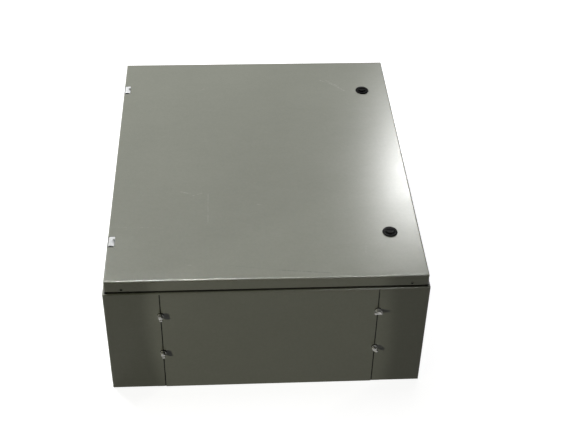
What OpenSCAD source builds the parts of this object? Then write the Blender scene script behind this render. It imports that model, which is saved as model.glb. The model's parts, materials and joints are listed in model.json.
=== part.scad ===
// Wall-mount sheet-steel electrical enclosure, lying on its back with the door facing up.
// Millimetres. X runs across the width with the hinges at -X, Y along the height, +Z out of the door.
// The origin is the middle of the back face, the face that goes against a wall.

/* [Body] */
// Outside width of the body
body_w = 610; // [500:1:800]
// Outside height of the body
body_h = 762; // [640:1:1000]
// Depth of the body, from the back face to the front flange
body_d = 254; // [230:1:400]
// Sheet thickness of the body
body_t = 1.5; // [1.2:0.1:2]
// Outside radius of the body's folds
body_r = 3; // [2.6:0.1:4]
// Height of the sealing lip above the front flange
lip_h = 14; // [10:0.5:15]
// Corner radius of the sealing lip
lip_r = 12; // [10:0.5:20]
// Clearance between the lip and the door's rim as the rim swings past
lip_clear = 4.3; // [2:0.1:10]

/* [Wall fixing] */
// Diameter of the wall fixing holes
wall_hole_d = 10; // [6:0.5:12]
// Distance of the wall fixing holes from the outside of the body
wall_hole_inset = 21; // [16:0.5:30]

/* [Door] */
// How far the door stops short of the body's edge, all round
door_margin = 4; // [3:0.5:5]
// Sheet thickness of the door
door_t = 2; // [1.5:0.1:2.5]
// Outside radius of the door's folds
door_r = 3; // [2.8:0.1:4]
// Depth of the door's folded rim
door_rim = 24; // [22:0.5:30]
// Gap between the rim's free edge and the front flange
door_gap = 3; // [2.5:0.5:5]
// Diameter of the holes that the door hangs by while it is painted
hang_hole_d = 4; // [2:0.5:6]
// Distance of the hanging holes from the sides of the door
hang_hole_inset = 31.5; // [20:0.5:60]
// Height of the hanging holes above the rim's free edge
hang_hole_up = 4.5; // [4:0.5:10]
// Width of the foamed seal
seal_w = 12; // [8:0.5:14]
// Radius of the seal's domed face
seal_dome_r = 9; // [7.5:0.5:20]

/* [Hinges] */
// Distance of the upper hinge from the upper end of the door
hinge_upper_end = 108; // [60:1:200]
// Distance of the lower hinge from the lower end of the door
hinge_lower_end = 115; // [60:1:200]
// Length of a hinge's knuckles
hinge_len = 27; // [26:1:50]
// Length of the middle knuckle, which belongs to the body
middle_len = 11; // [10:0.5:18]
// Outside radius of the knuckles, which stand flush with the door's face
knuckle_r = 7; // [6:0.25:8]
// Distance of the hinge pin from the side of the door
hinge_inset = 6.5; // [5:0.25:8]
// Diameter of the hinge pin
pin_d = 5; // [3:0.5:6]
// Clearance of the door's notch at the upper end of a hinge
notch_gap_upper = 1; // [0.8:0.1:3]
// Clearance of the door's notch at the lower end of a hinge
notch_gap_lower = 3.5; // [2:0.5:6]
// Thickness of the hinge leaves
leaf_t = 3; // [2:0.5:4]
// Length of the tabs that fix a door leaf, one at each end
tab_len = 12; // [10:0.5:20]
// Thread diameter of the hinge screws and studs
hinge_screw_d = 4; // [3:0.5:5]

/* [Locks] */
// Distance of the locks from the free side of the door
lock_inset = 59; // [56:1:80]
// Distance of each lock from the ends of the door
lock_end = 125; // [60:1:200]
// Diameter of the lock's head
lock_head_d = 29; // [27:0.5:34]
// Thickness of the lock's head
lock_head_h = 2.2; // [1.5:0.1:3]
// Thickness of the seal under the lock's head
lock_seal_t = 0.8; // [0.5:0.1:1.5]
// Diameter of the barrel that passes through the door
lock_barrel_d = 22; // [20:0.5:24]
// Diameter of the rotor's shaft in the barrel
rotor_d = 16; // [14:0.5:17]
// Diameter of the boss on top of the rotor
lock_boss_d = 18.5; // [18:0.5:20]
// Height of the boss above the lock's head
lock_boss_h = 3; // [2.5:0.1:5]
// Width of the screwdriver slot
slot_w = 2.5; // [1.5:0.1:4]
// Length of the screwdriver slot
slot_len = 14; // [8:0.5:16]
// Depth of the screwdriver slot
slot_depth = 2.2; // [1:0.1:3]
// Thickness of the cam
cam_t = 3; // [2:0.5:4]
// Width of the cam
cam_w = 16; // [13:0.5:20]
// How far the turned cam reaches under the front flange
cam_overlap = 10; // [5:0.5:20]
// Gap between the turned cam and the underside of the front flange
cam_clear = 2; // [1.8:0.1:3]

/* [End plate] */
// Width of the fixed strip beside the end plate on the hinge side
strip_left_w = 104.5; // [60:0.5:150]
// Width of the fixed strip beside the end plate on the lock side
strip_right_w = 95.5; // [60:0.5:150]
// Width of the seam at each side of the end plate
seam_gap = 2; // [1:0.1:4]
// Gap at the front and back edges of the end plate
end_gap = 0.4; // [0.2:0.1:1]
// Thickness of the frame that backs the seams
frame_t = 4; // [3:0.5:6]
// Width of the frame on each side of a seam
frame_w = 16; // [14:0.5:24]
// Thickness of the end plate's gasket
end_gasket_t = 1.5; // [1:0.1:2]

/* [Wing screws] */
// Height of the back row of wing screws above the back face
screw_row_back = 99; // [40:1:120]
// Height of the front row of wing screws above the back face
screw_row_front = 198; // [140:1:205]
// Angle of the back left wing screw
wing_angle_back_left = 105; // [0:1:180]
// Angle of the front left wing screw
wing_angle_front_left = 100; // [0:1:180]
// Angle of the back right wing screw
wing_angle_back_right = 130; // [0:1:180]
// Angle of the front right wing screw
wing_angle_front_right = 2; // [0:1:180]
// Thread diameter of the wing screws
screw_d = 5; // [4:0.5:6]
// Span of the wings
wing_span = 16; // [14:0.5:24]
// Height of the wings above the washer
wing_h = 10; // [9:0.5:16]
// Thickness of the wings
wing_t = 4.5; // [3:0.25:6]
// Radius of the wings' round ends
wing_ear_r = 3.4; // [2.5:0.1:4]
// Diameter of the hub at the foot of the wings
wing_hub_d = 9.4; // [8.6:0.2:11]
// Height of the hub between the wings
wing_hub_h = 8.5; // [7:0.5:9]
// Diameter of the sealing washer
washer_d = 12.5; // [12.5:0.5:20]
// Thickness of the sealing washer
washer_t = 1.6; // [1:0.1:3]

/* [Mounting plate] */
// Gap between the mounting plate and the outside of the body
plate_margin = 38; // [34:1:80]
// Thickness of the mounting plate
plate_t = 2.5; // [2:0.5:4]
// Corner radius of the mounting plate
plate_corner_r = 6; // [2:1:12]
// Distance of the mounting plate from the inside of the back wall
plate_standoff = 22; // [12:0.5:40]
// Distance of the studs from the edges of the mounting plate
stud_inset = 22; // [15:0.5:40]
// Thread diameter of the studs
stud_d = 8; // [6:1:10]

/* [Earth studs] */
// Thread diameter of the earth studs
earth_d = 8; // [6:1:10]
// Length of the earth studs
earth_len = 22; // [16:1:30]
// Distance of the door's earth stud from the sealing lip
door_earth_inset = 32; // [25:1:60]

/* [Hidden] */

$fn = 64;

// Colours, as the object shows them
paint = [0.53, 0.54, 0.50];
zinc = [0.78, 0.79, 0.80];
galvanised = [0.62, 0.65, 0.67];
black_plastic = [0.05, 0.05, 0.05];
foam = [0.10, 0.10, 0.11];

// Clearances shared by mating pieces, and how far a cut runs past the face that it opens
over = 1;
running_clear = 0.05;
thread_clear = 0.1;
fit_clear = 0.3;

// Levels of the body, the lip and the door
door_w = body_w - 2 * door_margin;
door_h = body_h - 2 * door_margin;
flange_under = body_d - body_t;
sheet_mid_front = body_d - body_t / 2;
lip_top = body_d + lip_h;
rim_edge = body_d + door_gap;
door_top = rim_edge + door_rim;
door_under = door_top - door_t;

// Hinge pin, and the circle in which the rim's free edge swings round it
hinge_x = -door_w / 2 + hinge_inset;
hinge_upper_y = door_h / 2 - hinge_upper_end;
hinge_lower_y = hinge_lower_end - door_h / 2;
hinge_places = [hinge_lower_y, hinge_upper_y];
hinge_z = door_top - knuckle_r;
rim_swing_r = norm([hinge_inset, door_rim - knuckle_r]);

// Front flange, sealing lip and door seal
flange_w = door_margin + hinge_inset + rim_swing_r + lip_clear;
lip_w = body_w - 2 * flange_w;
lip_len = body_h - 2 * flange_w;
seal_mid_r = lip_r - body_t / 2;
seal_mid_w = lip_w - body_t;
seal_mid_len = lip_len - body_t;
seal_h = door_under - lip_top - fit_clear;

// Small gaps and lands of the hinges
ear_gap = 0.4;
pin_tip = 0.5;
knuckle_clear = 0.8;
seal_clear = 1.5;
fold_clear = 1;
head_clear = 0.5;
head_land = 1;
head_ledge = 1.5;
head_taper = 1;
nut_thread_end = 1.5;

// Hinge leaves, their screws and their studs
notch_x = hinge_x + knuckle_r + knuckle_clear;
notch_len = hinge_len + notch_gap_upper + notch_gap_lower;
notch_mid = (notch_gap_upper - notch_gap_lower) / 2;
ear_len = (hinge_len - middle_len) / 2 - ear_gap;
leaf_end = -seal_mid_w / 2 - seal_w / 2 - seal_clear;
leaf_start = -door_w / 2 + door_t + fold_clear;
leaf_len = notch_len + 2 * tab_len;
leaf_screw_head_d = hinge_screw_d + 2 * head_ledge;
leaf_screw_head_h = 2.4;
leaf_screw_len = 8;
leaf_screw_x = hinge_x + knuckle_r + leaf_screw_head_d / 2 + head_clear;
leaf_screw_y = hinge_len / 2 - leaf_screw_head_d / 2 - head_land;
foot_end = leaf_screw_x + leaf_screw_head_d / 2 + head_land;
hinge_stud_x = (leaf_start + leaf_end) / 2;
hinge_stud_y = notch_len / 2 + tab_len / 2;
hinge_nut_d = 1.9 * hinge_screw_d;
hinge_nut_h = 0.75 * hinge_screw_d;
hinge_stud_len = leaf_t + hinge_nut_h + nut_thread_end;

// Locks, in levels above the door's face
lock_x = door_w / 2 - lock_inset;
lock_y = door_h / 2 - lock_end;
lock_head_top = lock_seal_t + lock_head_h;
lock_recess_floor = lock_seal_t + lock_head_h / 4;
lock_boss_top = lock_head_top + lock_boss_h;
boss_chamfer = 0.8;
cam_top = flange_under - cam_clear - door_top;
barrel_gap = 3;
barrel_end = cam_top + barrel_gap;
cam_reach = body_w / 2 - flange_w - lock_x + cam_overlap;
drive_w = 8;
cam_eye_ledge = 1;
cam_screw_d = 6;
cam_screw_depth = 8;
cam_screw_head_d = 11.5;
cam_screw_head_h = 4;
lock_nut_ledge = 4.5;
lock_nut_d = lock_barrel_d + 2 * lock_nut_ledge;
lock_nut_h = 6;
lock_seal_set_in = 0.5;

// End plate and the frame behind its seams
end_wall_y = -body_h / 2;
end_wall_in = end_wall_y + body_t;
seam_left = -body_w / 2 + strip_left_w;
seam_right = body_w / 2 - strip_right_w;
fold_land = 0.5;
end_top = body_d - body_r - fold_land;
gasket_low = 2 * body_t;
window_low = gasket_low + frame_w;
window_high = end_top - frame_w;
screw_notch_clear = 0.7;
screw_notch_d = screw_d + 2 * screw_notch_clear;
screw_nut_ledge = 2;
screw_nut_w = screw_d + 2 * screw_nut_ledge;
screw_nut_t = 4;
screw_tip = 2;
screw_end = end_wall_in + frame_t + screw_nut_t + screw_tip;

// Wing screw heads
wing_collar_ledge = 0.7;
wing_collar_d = wing_hub_d + 2 * wing_collar_ledge;
wing_collar_h = 1.2;
wing_foot_r = 1.6;
wing_foot_out = 0.6;
wing_foot = [wing_foot_r + wing_foot_out, wing_foot_r + wing_collar_h];
wing_hub_taper = 1.6;

// Mounting plate and its studs
plate_w = body_w - 2 * plate_margin;
plate_len = body_h - 2 * plate_margin;
plate_z = body_t + plate_standoff;
plate_top = plate_z + plate_t;
stud_collar_ledge = 3;
stud_collar_d = stud_d + 2 * stud_collar_ledge;
stud_washer_d = 2 * stud_d;
stud_washer_t = 1.6;
stud_nut_d = 1.88 * stud_d;
stud_nut_h = 0.8 * stud_d;
stud_tip = 4;
stud_end = plate_top + stud_washer_t + stud_nut_h + stud_tip;

// Earth studs
earth_base_ledge = 2.5;
earth_base_d = earth_d + 2 * earth_base_ledge;
earth_base_t = 2;
earth_nut_d = 1.88 * earth_d;
earth_nut_h = 0.8 * earth_d;
earth_x = -(body_w + plate_w) / 4;
door_earth_x = -lip_w / 2 + door_earth_inset;

// Places where pieces repeat
plate_corners = [for (sx = [-1, 1], sy = [-1, 1])
    [sx * (plate_w / 2 - stud_inset), sy * (plate_len / 2 - stud_inset)]];
wall_holes = [for (sx = [-1, 1], sy = [-1, 1])
    [sx * (body_w / 2 - wall_hole_inset), sy * (body_h / 2 - wall_hole_inset)]];
seam_screws = [for (x = [seam_left, seam_right], z = [screw_row_back, screw_row_front]) [x, z]];

// Rectangle about the origin with round corners
module rounded_rect(w, h, r) {
    square([w - 2 * r, h], center = true);
    square([w, h - 2 * r], center = true);
    for (sx = [-1, 1], sy = [-1, 1])
        translate([sx * (w / 2 - r), sy * (h / 2 - r)]) circle(r);
}

// Section of a folded pan: round at the top corners, square at the open edge
module pan_section(w, d, r) {
    translate([-w / 2, 0]) square([w, d - r]);
    translate([-w / 2 + r, 0]) square([w - 2 * r, d]);
    for (sx = [-1, 1]) translate([sx * (w / 2 - r), d - r]) circle(r);
}

// Box on the XY plane whose folds all have the same radius
module folded_box(w, h, d, r) {
    intersection() {
        linear_extrude(d) rounded_rect(w, h, r);
        translate([0, h / 2, d / 2]) rotate([90, 0, 0]) linear_extrude(h) rounded_rect(w, d, r);
        translate([-w / 2, 0, d / 2]) rotate([90, 0, 90]) linear_extrude(w) rounded_rect(h, d, r);
    }
}

// Pan that opens downwards, folded along all four sides
module folded_pan(w, h, d, r) {
    intersection() {
        linear_extrude(d) rounded_rect(w, h, r);
        translate([0, h / 2, 0]) rotate([90, 0, 0]) linear_extrude(h) pan_section(w, d, r);
        translate([-w / 2, 0, 0]) rotate([90, 0, 90]) linear_extrude(w) pan_section(h, d, r);
    }
}

// Two circles and the straight tangents between them
module tapered_link(p1, r1, p2, r2) {
    d = p2 - p1;
    a = atan2(d[1], d[0]);
    t = acos((r1 - r2) / norm(d));
    translate(p1) circle(r1);
    translate(p2) circle(r2);
    polygon([
        p1 + r1 * [cos(a + t), sin(a + t)],
        p1 + r1 * [cos(a - t), sin(a - t)],
        p2 + r2 * [cos(a - t), sin(a - t)],
        p2 + r2 * [cos(a + t), sin(a + t)],
    ]);
}

// Section turned into the XZ plane and extruded along Y, half to each side
module along_y(len) {
    translate([0, len / 2, 0]) rotate([90, 0, 0]) linear_extrude(len) children();
}

// Round bar along Y, from y1 to y2
module bar_y(x, z, y1, y2, d) {
    translate([x, y2, z]) rotate([90, 0, 0]) cylinder(d = d, h = y2 - y1);
}

// Box given by its two corners
module block(low, high) {
    translate(low) cube(high - low);
}

// Flat ring on the XY plane
module ring(d_out, d_in, h) {
    difference() {
        cylinder(d = d_out, h = h);
        translate([0, 0, -over]) cylinder(d = d_in, h = h + 2 * over);
    }
}

// Hexagonal nut on the XY plane; d_out is across its corners
module hex_nut(d_out, d_in, h) {
    difference() {
        cylinder(d = d_out, h = h, $fn = 6);
        translate([0, 0, -over]) cylinder(d = d_in, h = h + 2 * over);
    }
}

// Welded body: back, four walls, front flange, sealing lip and the frame behind the end plate
module enclosure_body() {
    color(paint) difference() {
        union() {
            body_shell();
            sealing_lip();
            seam_frame();
        }
        front_opening();
        end_opening();
        end_window();
        gasket_space(over, 0);
        for (p = wall_holes)
            translate([p[0], p[1], -over]) cylinder(d = wall_hole_d, h = body_t + 2 * over);
        for (s = seam_screws) {
            bar_y(s[0], s[1], end_wall_y - over, end_wall_in + end_gasket_t, screw_notch_d);
            bar_y(s[0], s[1], end_wall_y - over, end_wall_in + frame_t + over, screw_d + 2 * running_clear);
        }
        for (y = hinge_places, k = [-1, 1])
            translate([leaf_screw_x, y + k * leaf_screw_y, flange_under - over])
                cylinder(d = hinge_screw_d + 2 * thread_clear, h = body_t + 2 * over);
    }
}

// Folded sheet shell, closed all round
module body_shell() {
    difference() {
        folded_box(body_w, body_h, body_d, body_r);
        translate([0, 0, body_t])
            folded_box(body_w - 2 * body_t, body_h - 2 * body_t, body_d - 2 * body_t,
                       body_r - body_t);
    }
}

// Lip that stands up from the front flange into the door's seal, before the front is opened
module sealing_lip() {
    translate([0, 0, sheet_mid_front]) linear_extrude(lip_top - sheet_mid_front)
        rounded_rect(lip_w, lip_len, lip_r);
}

// Frame welded inside the end wall, before its window and recess are cut
module seam_frame() {
    block([seam_left - frame_w, end_wall_y + body_t / 2, body_t / 2],
          [seam_right + frame_w, end_wall_in + frame_t, sheet_mid_front]);
}

// Opening of the front, inside the lip
module front_opening() {
    translate([0, 0, body_d / 2]) linear_extrude(body_d)
        rounded_rect(lip_w - 2 * body_t, lip_len - 2 * body_t, lip_r - body_t);
}

// Place of the end plate and its two seams in the end wall
module end_opening() {
    block([seam_left - seam_gap / 2, end_wall_y - over, -over],
          [seam_right + seam_gap / 2, end_wall_in, end_top]);
}

// Opening inside the frame, which the end plate covers
module end_window() {
    block([seam_left + frame_w, end_wall_in - over, window_low],
          [seam_right - frame_w, end_wall_in + frame_t + over, window_high]);
}

// Space of the gasket behind the end plate, seen through the seams
module gasket_space(out, slack) {
    edge = seam_gap / 2 - slack;
    block([seam_left - edge, end_wall_in - out, gasket_low + slack],
          [seam_right + edge, end_wall_in + end_gasket_t, end_top - slack]);
}

// Studs welded to the back wall, each with a collar that carries the mounting plate
module mounting_studs() {
    color(zinc) for (p = plate_corners) translate([p[0], p[1], body_t]) {
        cylinder(d = stud_collar_d, h = plate_standoff);
        cylinder(d = stud_d, h = stud_end - body_t);
    }
}

// Flat mounting plate with a hole at each stud
module mounting_plate() {
    color(galvanised) difference() {
        translate([0, 0, plate_z]) linear_extrude(plate_t)
            rounded_rect(plate_w, plate_len, plate_corner_r);
        for (p = plate_corners)
            translate([p[0], p[1], plate_z - over])
                cylinder(d = stud_d + 2 * fit_clear, h = plate_t + 2 * over);
    }
}

// Washers under the mounting plate's nuts
module plate_washers() {
    color(zinc) for (p = plate_corners) translate([p[0], p[1], plate_top])
        ring(stud_washer_d, stud_d + 2 * fit_clear, stud_washer_t);
}

// Nuts that hold the mounting plate
module plate_nuts() {
    color(zinc) for (p = plate_corners) translate([p[0], p[1], plate_top + stud_washer_t])
        hex_nut(stud_nut_d, stud_d + 2 * thread_clear, stud_nut_h);
}

// Earth stud on the XY plane, with its welded base
module earth_stud() {
    color(zinc) {
        cylinder(d = earth_base_d, h = earth_base_t);
        cylinder(d = earth_d, h = earth_len);
    }
}

// Nut on an earth stud
module earth_nut() {
    color(zinc) translate([0, 0, earth_base_t])
        hex_nut(earth_nut_d, earth_d + 2 * thread_clear, earth_nut_h);
}

// Puts an earth stud's pieces on the back wall, beside the mounting plate
module on_body_earth() {
    translate([earth_x, 0, body_t]) children();
}

// Puts an earth stud's pieces on the inside of the door, near the hinges
module on_door_earth() {
    translate([door_earth_x, 0, door_under]) rotate([180, 0, 0]) children();
}

// Removable plate that fills the end wall between the two seams
module end_plate() {
    color(paint) difference() {
        block([seam_left + seam_gap / 2, end_wall_y, end_gap],
              [seam_right - seam_gap / 2, end_wall_in, end_top - end_gap]);
        for (s = seam_screws)
            bar_y(s[0], s[1], end_wall_y - over, end_wall_in + over, screw_notch_d);
    }
}

// Flat gasket between the end plate and the frame
module end_plate_gasket() {
    color(foam) difference() {
        gasket_space(0, fit_clear);
        end_window();
        for (s = seam_screws)
            bar_y(s[0], s[1], end_wall_in - over, end_wall_in + frame_t, screw_notch_d);
    }
}

// Sealing washers that bridge the seams under the wing screws
module wing_screw_washers() {
    color(foam) for (s = seam_screws) translate([s[0], end_wall_y, s[1]]) rotate([90, 0, 0])
        ring(washer_d, screw_d + 2 * fit_clear, washer_t);
}

// Square weld nuts behind the frame
module wing_screw_nuts() {
    color(zinc) for (s = seam_screws) translate([s[0], end_wall_in + frame_t, s[1]])
        difference() {
            block([-screw_nut_w / 2, 0, -screw_nut_w / 2],
                  [screw_nut_w / 2, screw_nut_t, screw_nut_w / 2]);
            bar_y(0, 0, -over, screw_nut_t + over, screw_d + 2 * running_clear);
        }
}

// Wing screw standing on the XY plane, with its shank below
module wing_screw(shank) {
    translate([0, 0, -shank]) cylinder(d = screw_d, h = shank + wing_collar_h);
    cylinder(d = wing_collar_d, h = wing_collar_h);
    cylinder(d1 = wing_hub_d, d2 = wing_hub_d - wing_hub_taper, h = wing_hub_h);
    for (side = [-1, 1]) rotate([90, 0, 90 - 90 * side]) translate([0, 0, -wing_t / 2])
        linear_extrude(wing_t)
            tapered_link(wing_foot, wing_foot_r,
                         [wing_span / 2 - wing_ear_r, wing_h - wing_ear_r], wing_ear_r);
}

// Wing screw at one seam and row, turned to its angle
module placed_wing_screw(x, z, angle) {
    color(zinc) translate([x, end_wall_y - washer_t, z]) rotate([90, 0, 0]) rotate(angle)
        wing_screw(screw_end - end_wall_y + washer_t);
}

// Body half of a hinge: a foot on the front flange, a post and the middle knuckle
module hinge_body_leaf(y) {
    color(zinc) translate([0, y, 0]) difference() {
        union() {
            block([hinge_x - knuckle_r, -hinge_len / 2, body_d],
                  [foot_end, hinge_len / 2, body_d + leaf_t]);
            along_y(middle_len) {
                translate([hinge_x, hinge_z]) circle(knuckle_r);
                translate([hinge_x - knuckle_r, body_d])
                    square([2 * knuckle_r, hinge_z - body_d]);
            }
        }
        translate([hinge_x, 0, hinge_z]) along_y(hinge_len) circle(d = pin_d + 2 * running_clear);
        for (k = [-1, 1]) translate([leaf_screw_x, k * leaf_screw_y, body_d - over])
            cylinder(d = hinge_screw_d + 2 * thread_clear, h = leaf_t + 2 * over);
    }
}

// Screws that hold the body halves of the hinges to the front flange
module hinge_body_screws() {
    color(zinc) for (y = hinge_places, k = [-1, 1])
        translate([leaf_screw_x, y + k * leaf_screw_y, body_d + leaf_t]) {
            cylinder(d1 = leaf_screw_head_d, d2 = leaf_screw_head_d - 2 * head_taper,
                     h = leaf_screw_head_h);
            translate([0, 0, -leaf_screw_len]) cylinder(d = hinge_screw_d, h = leaf_screw_len);
        }
}

// Section of a door half's end knuckle: round at the outer side, flat on top, and a link to the bar
module end_knuckle_section() {
    translate([hinge_x, hinge_z]) circle(knuckle_r);
    translate([hinge_x, hinge_z]) square(knuckle_r);
    translate([hinge_x, door_under - leaf_t]) square([notch_x - hinge_x + over, leaf_t]);
}

// Door half of a hinge: a bar under the door's face, two end knuckles and two fixing tabs
module hinge_door_leaf(y) {
    color(zinc) translate([0, y, 0]) difference() {
        union() {
            translate([0, notch_mid, 0])
                block([notch_x, -leaf_len / 2, door_under - leaf_t], [leaf_end, leaf_len / 2, door_under]);
            for (k = [-1, 1]) {
                translate([0, notch_mid + k * hinge_stud_y, 0])
                    block([leaf_start, -tab_len / 2, door_under - leaf_t],
                          [leaf_end, tab_len / 2, door_under]);
                translate([0, k * (hinge_len - ear_len) / 2, 0]) along_y(ear_len) end_knuckle_section();
            }
        }
        translate([hinge_x, 0, hinge_z]) along_y(leaf_len) circle(d = pin_d);
        for (k = [-1, 1])
            translate([hinge_stud_x, notch_mid + k * hinge_stud_y, door_under - leaf_t - over])
                cylinder(d = hinge_screw_d + 2 * thread_clear, h = leaf_t + 2 * over);
    }
}

// Hinge pin, held in the end knuckles
module hinge_pin(y) {
    color(zinc) translate([hinge_x, y, hinge_z]) along_y(hinge_len + 2 * pin_tip) circle(d = pin_d);
}

// Puts a piece at every stud that holds a door half of a hinge
module at_hinge_studs(z) {
    for (y = hinge_places, k = [-1, 1])
        translate([hinge_stud_x, y + notch_mid + k * hinge_stud_y, z]) children();
}

// Studs welded inside the door for the hinges
module hinge_door_studs() {
    color(zinc) at_hinge_studs(door_under - hinge_stud_len) cylinder(d = hinge_screw_d, h = hinge_stud_len);
}

// Nuts on the door's hinge studs
module hinge_door_nuts() {
    color(zinc) at_hinge_studs(door_under - leaf_t - hinge_nut_h)
        hex_nut(hinge_nut_d, hinge_screw_d + 2 * thread_clear, hinge_nut_h);
}

// Folded door with its hinge notches, lock holes and hanging holes
module door_panel() {
    color(paint) difference() {
        translate([0, 0, rim_edge]) folded_pan(door_w, door_h, door_rim, door_r);
        translate([0, 0, rim_edge - over])
            folded_pan(door_w - 2 * door_t, door_h - 2 * door_t, door_rim - door_t + over,
                       door_r - door_t);
        for (y = hinge_places)
            translate([0, y + notch_mid, 0])
                block([-door_w / 2 - over, -notch_len / 2, rim_edge - over],
                      [notch_x, notch_len / 2, door_top + over]);
        for (side = [-1, 1]) {
            translate([lock_x, side * lock_y, door_under - over])
                cylinder(d = lock_barrel_d + 2 * fit_clear, h = door_t + 2 * over);
            translate([side * (door_w / 2 - hang_hole_inset), 0, rim_edge + hang_hole_up])
                along_y(door_h + 2 * over) circle(d = hang_hole_d);
        }
    }
}

// Section of the door seal: flat on the door at the top, domed towards the lip at the bottom
module seal_section() {
    intersection() {
        translate([-seal_w / 2, 0]) square([seal_w, seal_h]);
        union() {
            translate([0, seal_dome_r]) circle(seal_dome_r);
            translate([-seal_w / 2, seal_dome_r]) square([seal_w, seal_h]);
        }
    }
}

// Foamed seal inside the door, over the sealing lip
module door_seal() {
    straight_w = seal_mid_w - 2 * seal_mid_r;
    straight_len = seal_mid_len - 2 * seal_mid_r;
    color(foam) translate([0, 0, lip_top + fit_clear]) {
        for (side = [-1, 1]) {
            translate([side * seal_mid_w / 2, 0, 0]) along_y(straight_len) seal_section();
            rotate(90) translate([side * seal_mid_len / 2, 0, 0]) along_y(straight_w) seal_section();
        }
        for (k = [0, 1, 2, 3])
            translate([(k == 0 || k == 3 ? 1 : -1) * straight_w / 2, (k < 2 ? 1 : -1) * straight_len / 2, 0])
                rotate(90 * k) rotate_extrude(angle = 90) translate([seal_mid_r, 0]) seal_section();
    }
}

// Puts a lock's pieces at its hole, with z = 0 on the door's face
module at_lock(side) {
    translate([lock_x, side * lock_y, door_top]) children();
}

// Lock housing: a head on the door's face and a barrel through it
module lock_housing(side) {
    head_r = lock_head_d / 2;
    recess_r = lock_boss_d / 2 + fit_clear / 2;
    bore_r = rotor_d / 2 + running_clear;
    color(black_plastic) at_lock(side) rotate_extrude() polygon([
        [bore_r, barrel_end],
        [lock_barrel_d / 2, barrel_end],
        [lock_barrel_d / 2, lock_seal_t],
        [head_r, lock_seal_t],
        [head_r, lock_head_top - lock_head_h / 2],
        [head_r - lock_head_h / 2, lock_head_top],
        [recess_r, lock_head_top],
        [recess_r, lock_recess_floor],
        [bore_r, lock_recess_floor],
    ]);
}

// Seal under the lock's head
module lock_seal(side) {
    color(foam) at_lock(side)
        ring(lock_head_d - 2 * lock_seal_set_in, lock_barrel_d + 2 * fit_clear, lock_seal_t);
}

// Nut that clamps the lock to the door
module lock_nut(side) {
    color(zinc) at_lock(side) translate([0, 0, -door_t - lock_nut_h])
        hex_nut(lock_nut_d, lock_barrel_d + 2 * thread_clear, lock_nut_h);
}

// Rotor: a slotted boss, a shaft in the barrel and a square end for the cam
module lock_rotor(side) {
    boss_r = lock_boss_d / 2;
    boss_low = lock_recess_floor + thread_clear;
    color(black_plastic) at_lock(side) difference() {
        union() {
            rotate_extrude() polygon([
                [0, cam_top], [rotor_d / 2, cam_top], [rotor_d / 2, boss_low],
                [boss_r, boss_low], [boss_r, lock_boss_top - boss_chamfer],
                [boss_r - boss_chamfer, lock_boss_top], [0, lock_boss_top],
            ]);
            block([-drive_w / 2, -drive_w / 2, cam_top - cam_t], [drive_w / 2, drive_w / 2, cam_top + over]);
        }
        block([-slot_len / 2, -slot_w / 2, lock_boss_top - slot_depth],
              [slot_len / 2, slot_w / 2, lock_boss_top + over]);
        translate([0, 0, cam_top - cam_t - over])
            cylinder(d = cam_screw_d + 2 * thread_clear, h = over + cam_screw_depth + over);
    }
}

// Cam on the rotor's square end; it points along -Y while the door is free to open
module lock_cam(side) {
    tip = cam_reach - cam_w / 2;
    color(zinc) at_lock(side) translate([0, 0, cam_top - cam_t]) linear_extrude(cam_t) difference() {
        union() {
            circle(d = cam_w + 2 * cam_eye_ledge);
            translate([-cam_w / 2, -tip]) square([cam_w, tip]);
            translate([0, -tip]) circle(d = cam_w);
        }
        square(drive_w + 2 * thread_clear, center = true);
    }
}

// Screw that holds the cam on the rotor
module lock_screw(side) {
    color(zinc) at_lock(side) translate([0, 0, cam_top - cam_t]) {
        translate([0, 0, -cam_screw_head_h]) cylinder(d = cam_screw_head_d, h = cam_screw_head_h, $fn = 6);
        cylinder(d = cam_screw_d, h = cam_screw_depth);
    }
}

enclosure_body();
mounting_studs();
mounting_plate();
plate_washers();
plate_nuts();
on_body_earth() earth_stud();  // body_earth_stud
on_body_earth() earth_nut();  // body_earth_nut
end_plate();
end_plate_gasket();
wing_screw_washers();
wing_screw_nuts();
placed_wing_screw(seam_left, screw_row_back, wing_angle_back_left);  // wing_screw_back_left
placed_wing_screw(seam_left, screw_row_front, wing_angle_front_left);  // wing_screw_front_left
placed_wing_screw(seam_right, screw_row_back, wing_angle_back_right);  // wing_screw_back_right
placed_wing_screw(seam_right, screw_row_front, wing_angle_front_right);  // wing_screw_front_right
hinge_body_leaf(hinge_upper_y);  // hinge_upper_body_leaf
hinge_body_leaf(hinge_lower_y);  // hinge_lower_body_leaf
hinge_body_screws();
door_panel();
door_seal();
on_door_earth() earth_stud();  // door_earth_stud
on_door_earth() earth_nut();  // door_earth_nut
hinge_door_leaf(hinge_upper_y);  // hinge_upper_door_leaf
hinge_door_leaf(hinge_lower_y);  // hinge_lower_door_leaf
hinge_pin(hinge_upper_y);  // hinge_upper_pin
hinge_pin(hinge_lower_y);  // hinge_lower_pin
hinge_door_studs();
hinge_door_nuts();
lock_housing(1);  // lock_upper_housing
lock_seal(1);  // lock_upper_seal
lock_nut(1);  // lock_upper_nut
lock_rotor(1);  // lock_upper_rotor
lock_cam(1);  // lock_upper_cam
lock_screw(1);  // lock_upper_screw
lock_housing(-1);  // lock_lower_housing
lock_seal(-1);  // lock_lower_seal
lock_nut(-1);  // lock_lower_nut
lock_rotor(-1);  // lock_lower_rotor
lock_cam(-1);  // lock_lower_cam
lock_screw(-1);  // lock_lower_screw
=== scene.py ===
"""Looks of a wall-mount sheet-steel electrical enclosure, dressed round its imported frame.

The enclosure lies on its back with the door facing up. Lengths are metres in the frame's own axes: X across
the width with the hinges at -X, Y along the height, and +Z out of the door.
"""

from __future__ import annotations

import json
import logging
import math
from dataclasses import dataclass, field
from enum import Enum
from typing import Any, Iterable, Sequence

import bmesh
import bpy
from mathutils import Matrix, Vector

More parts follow.
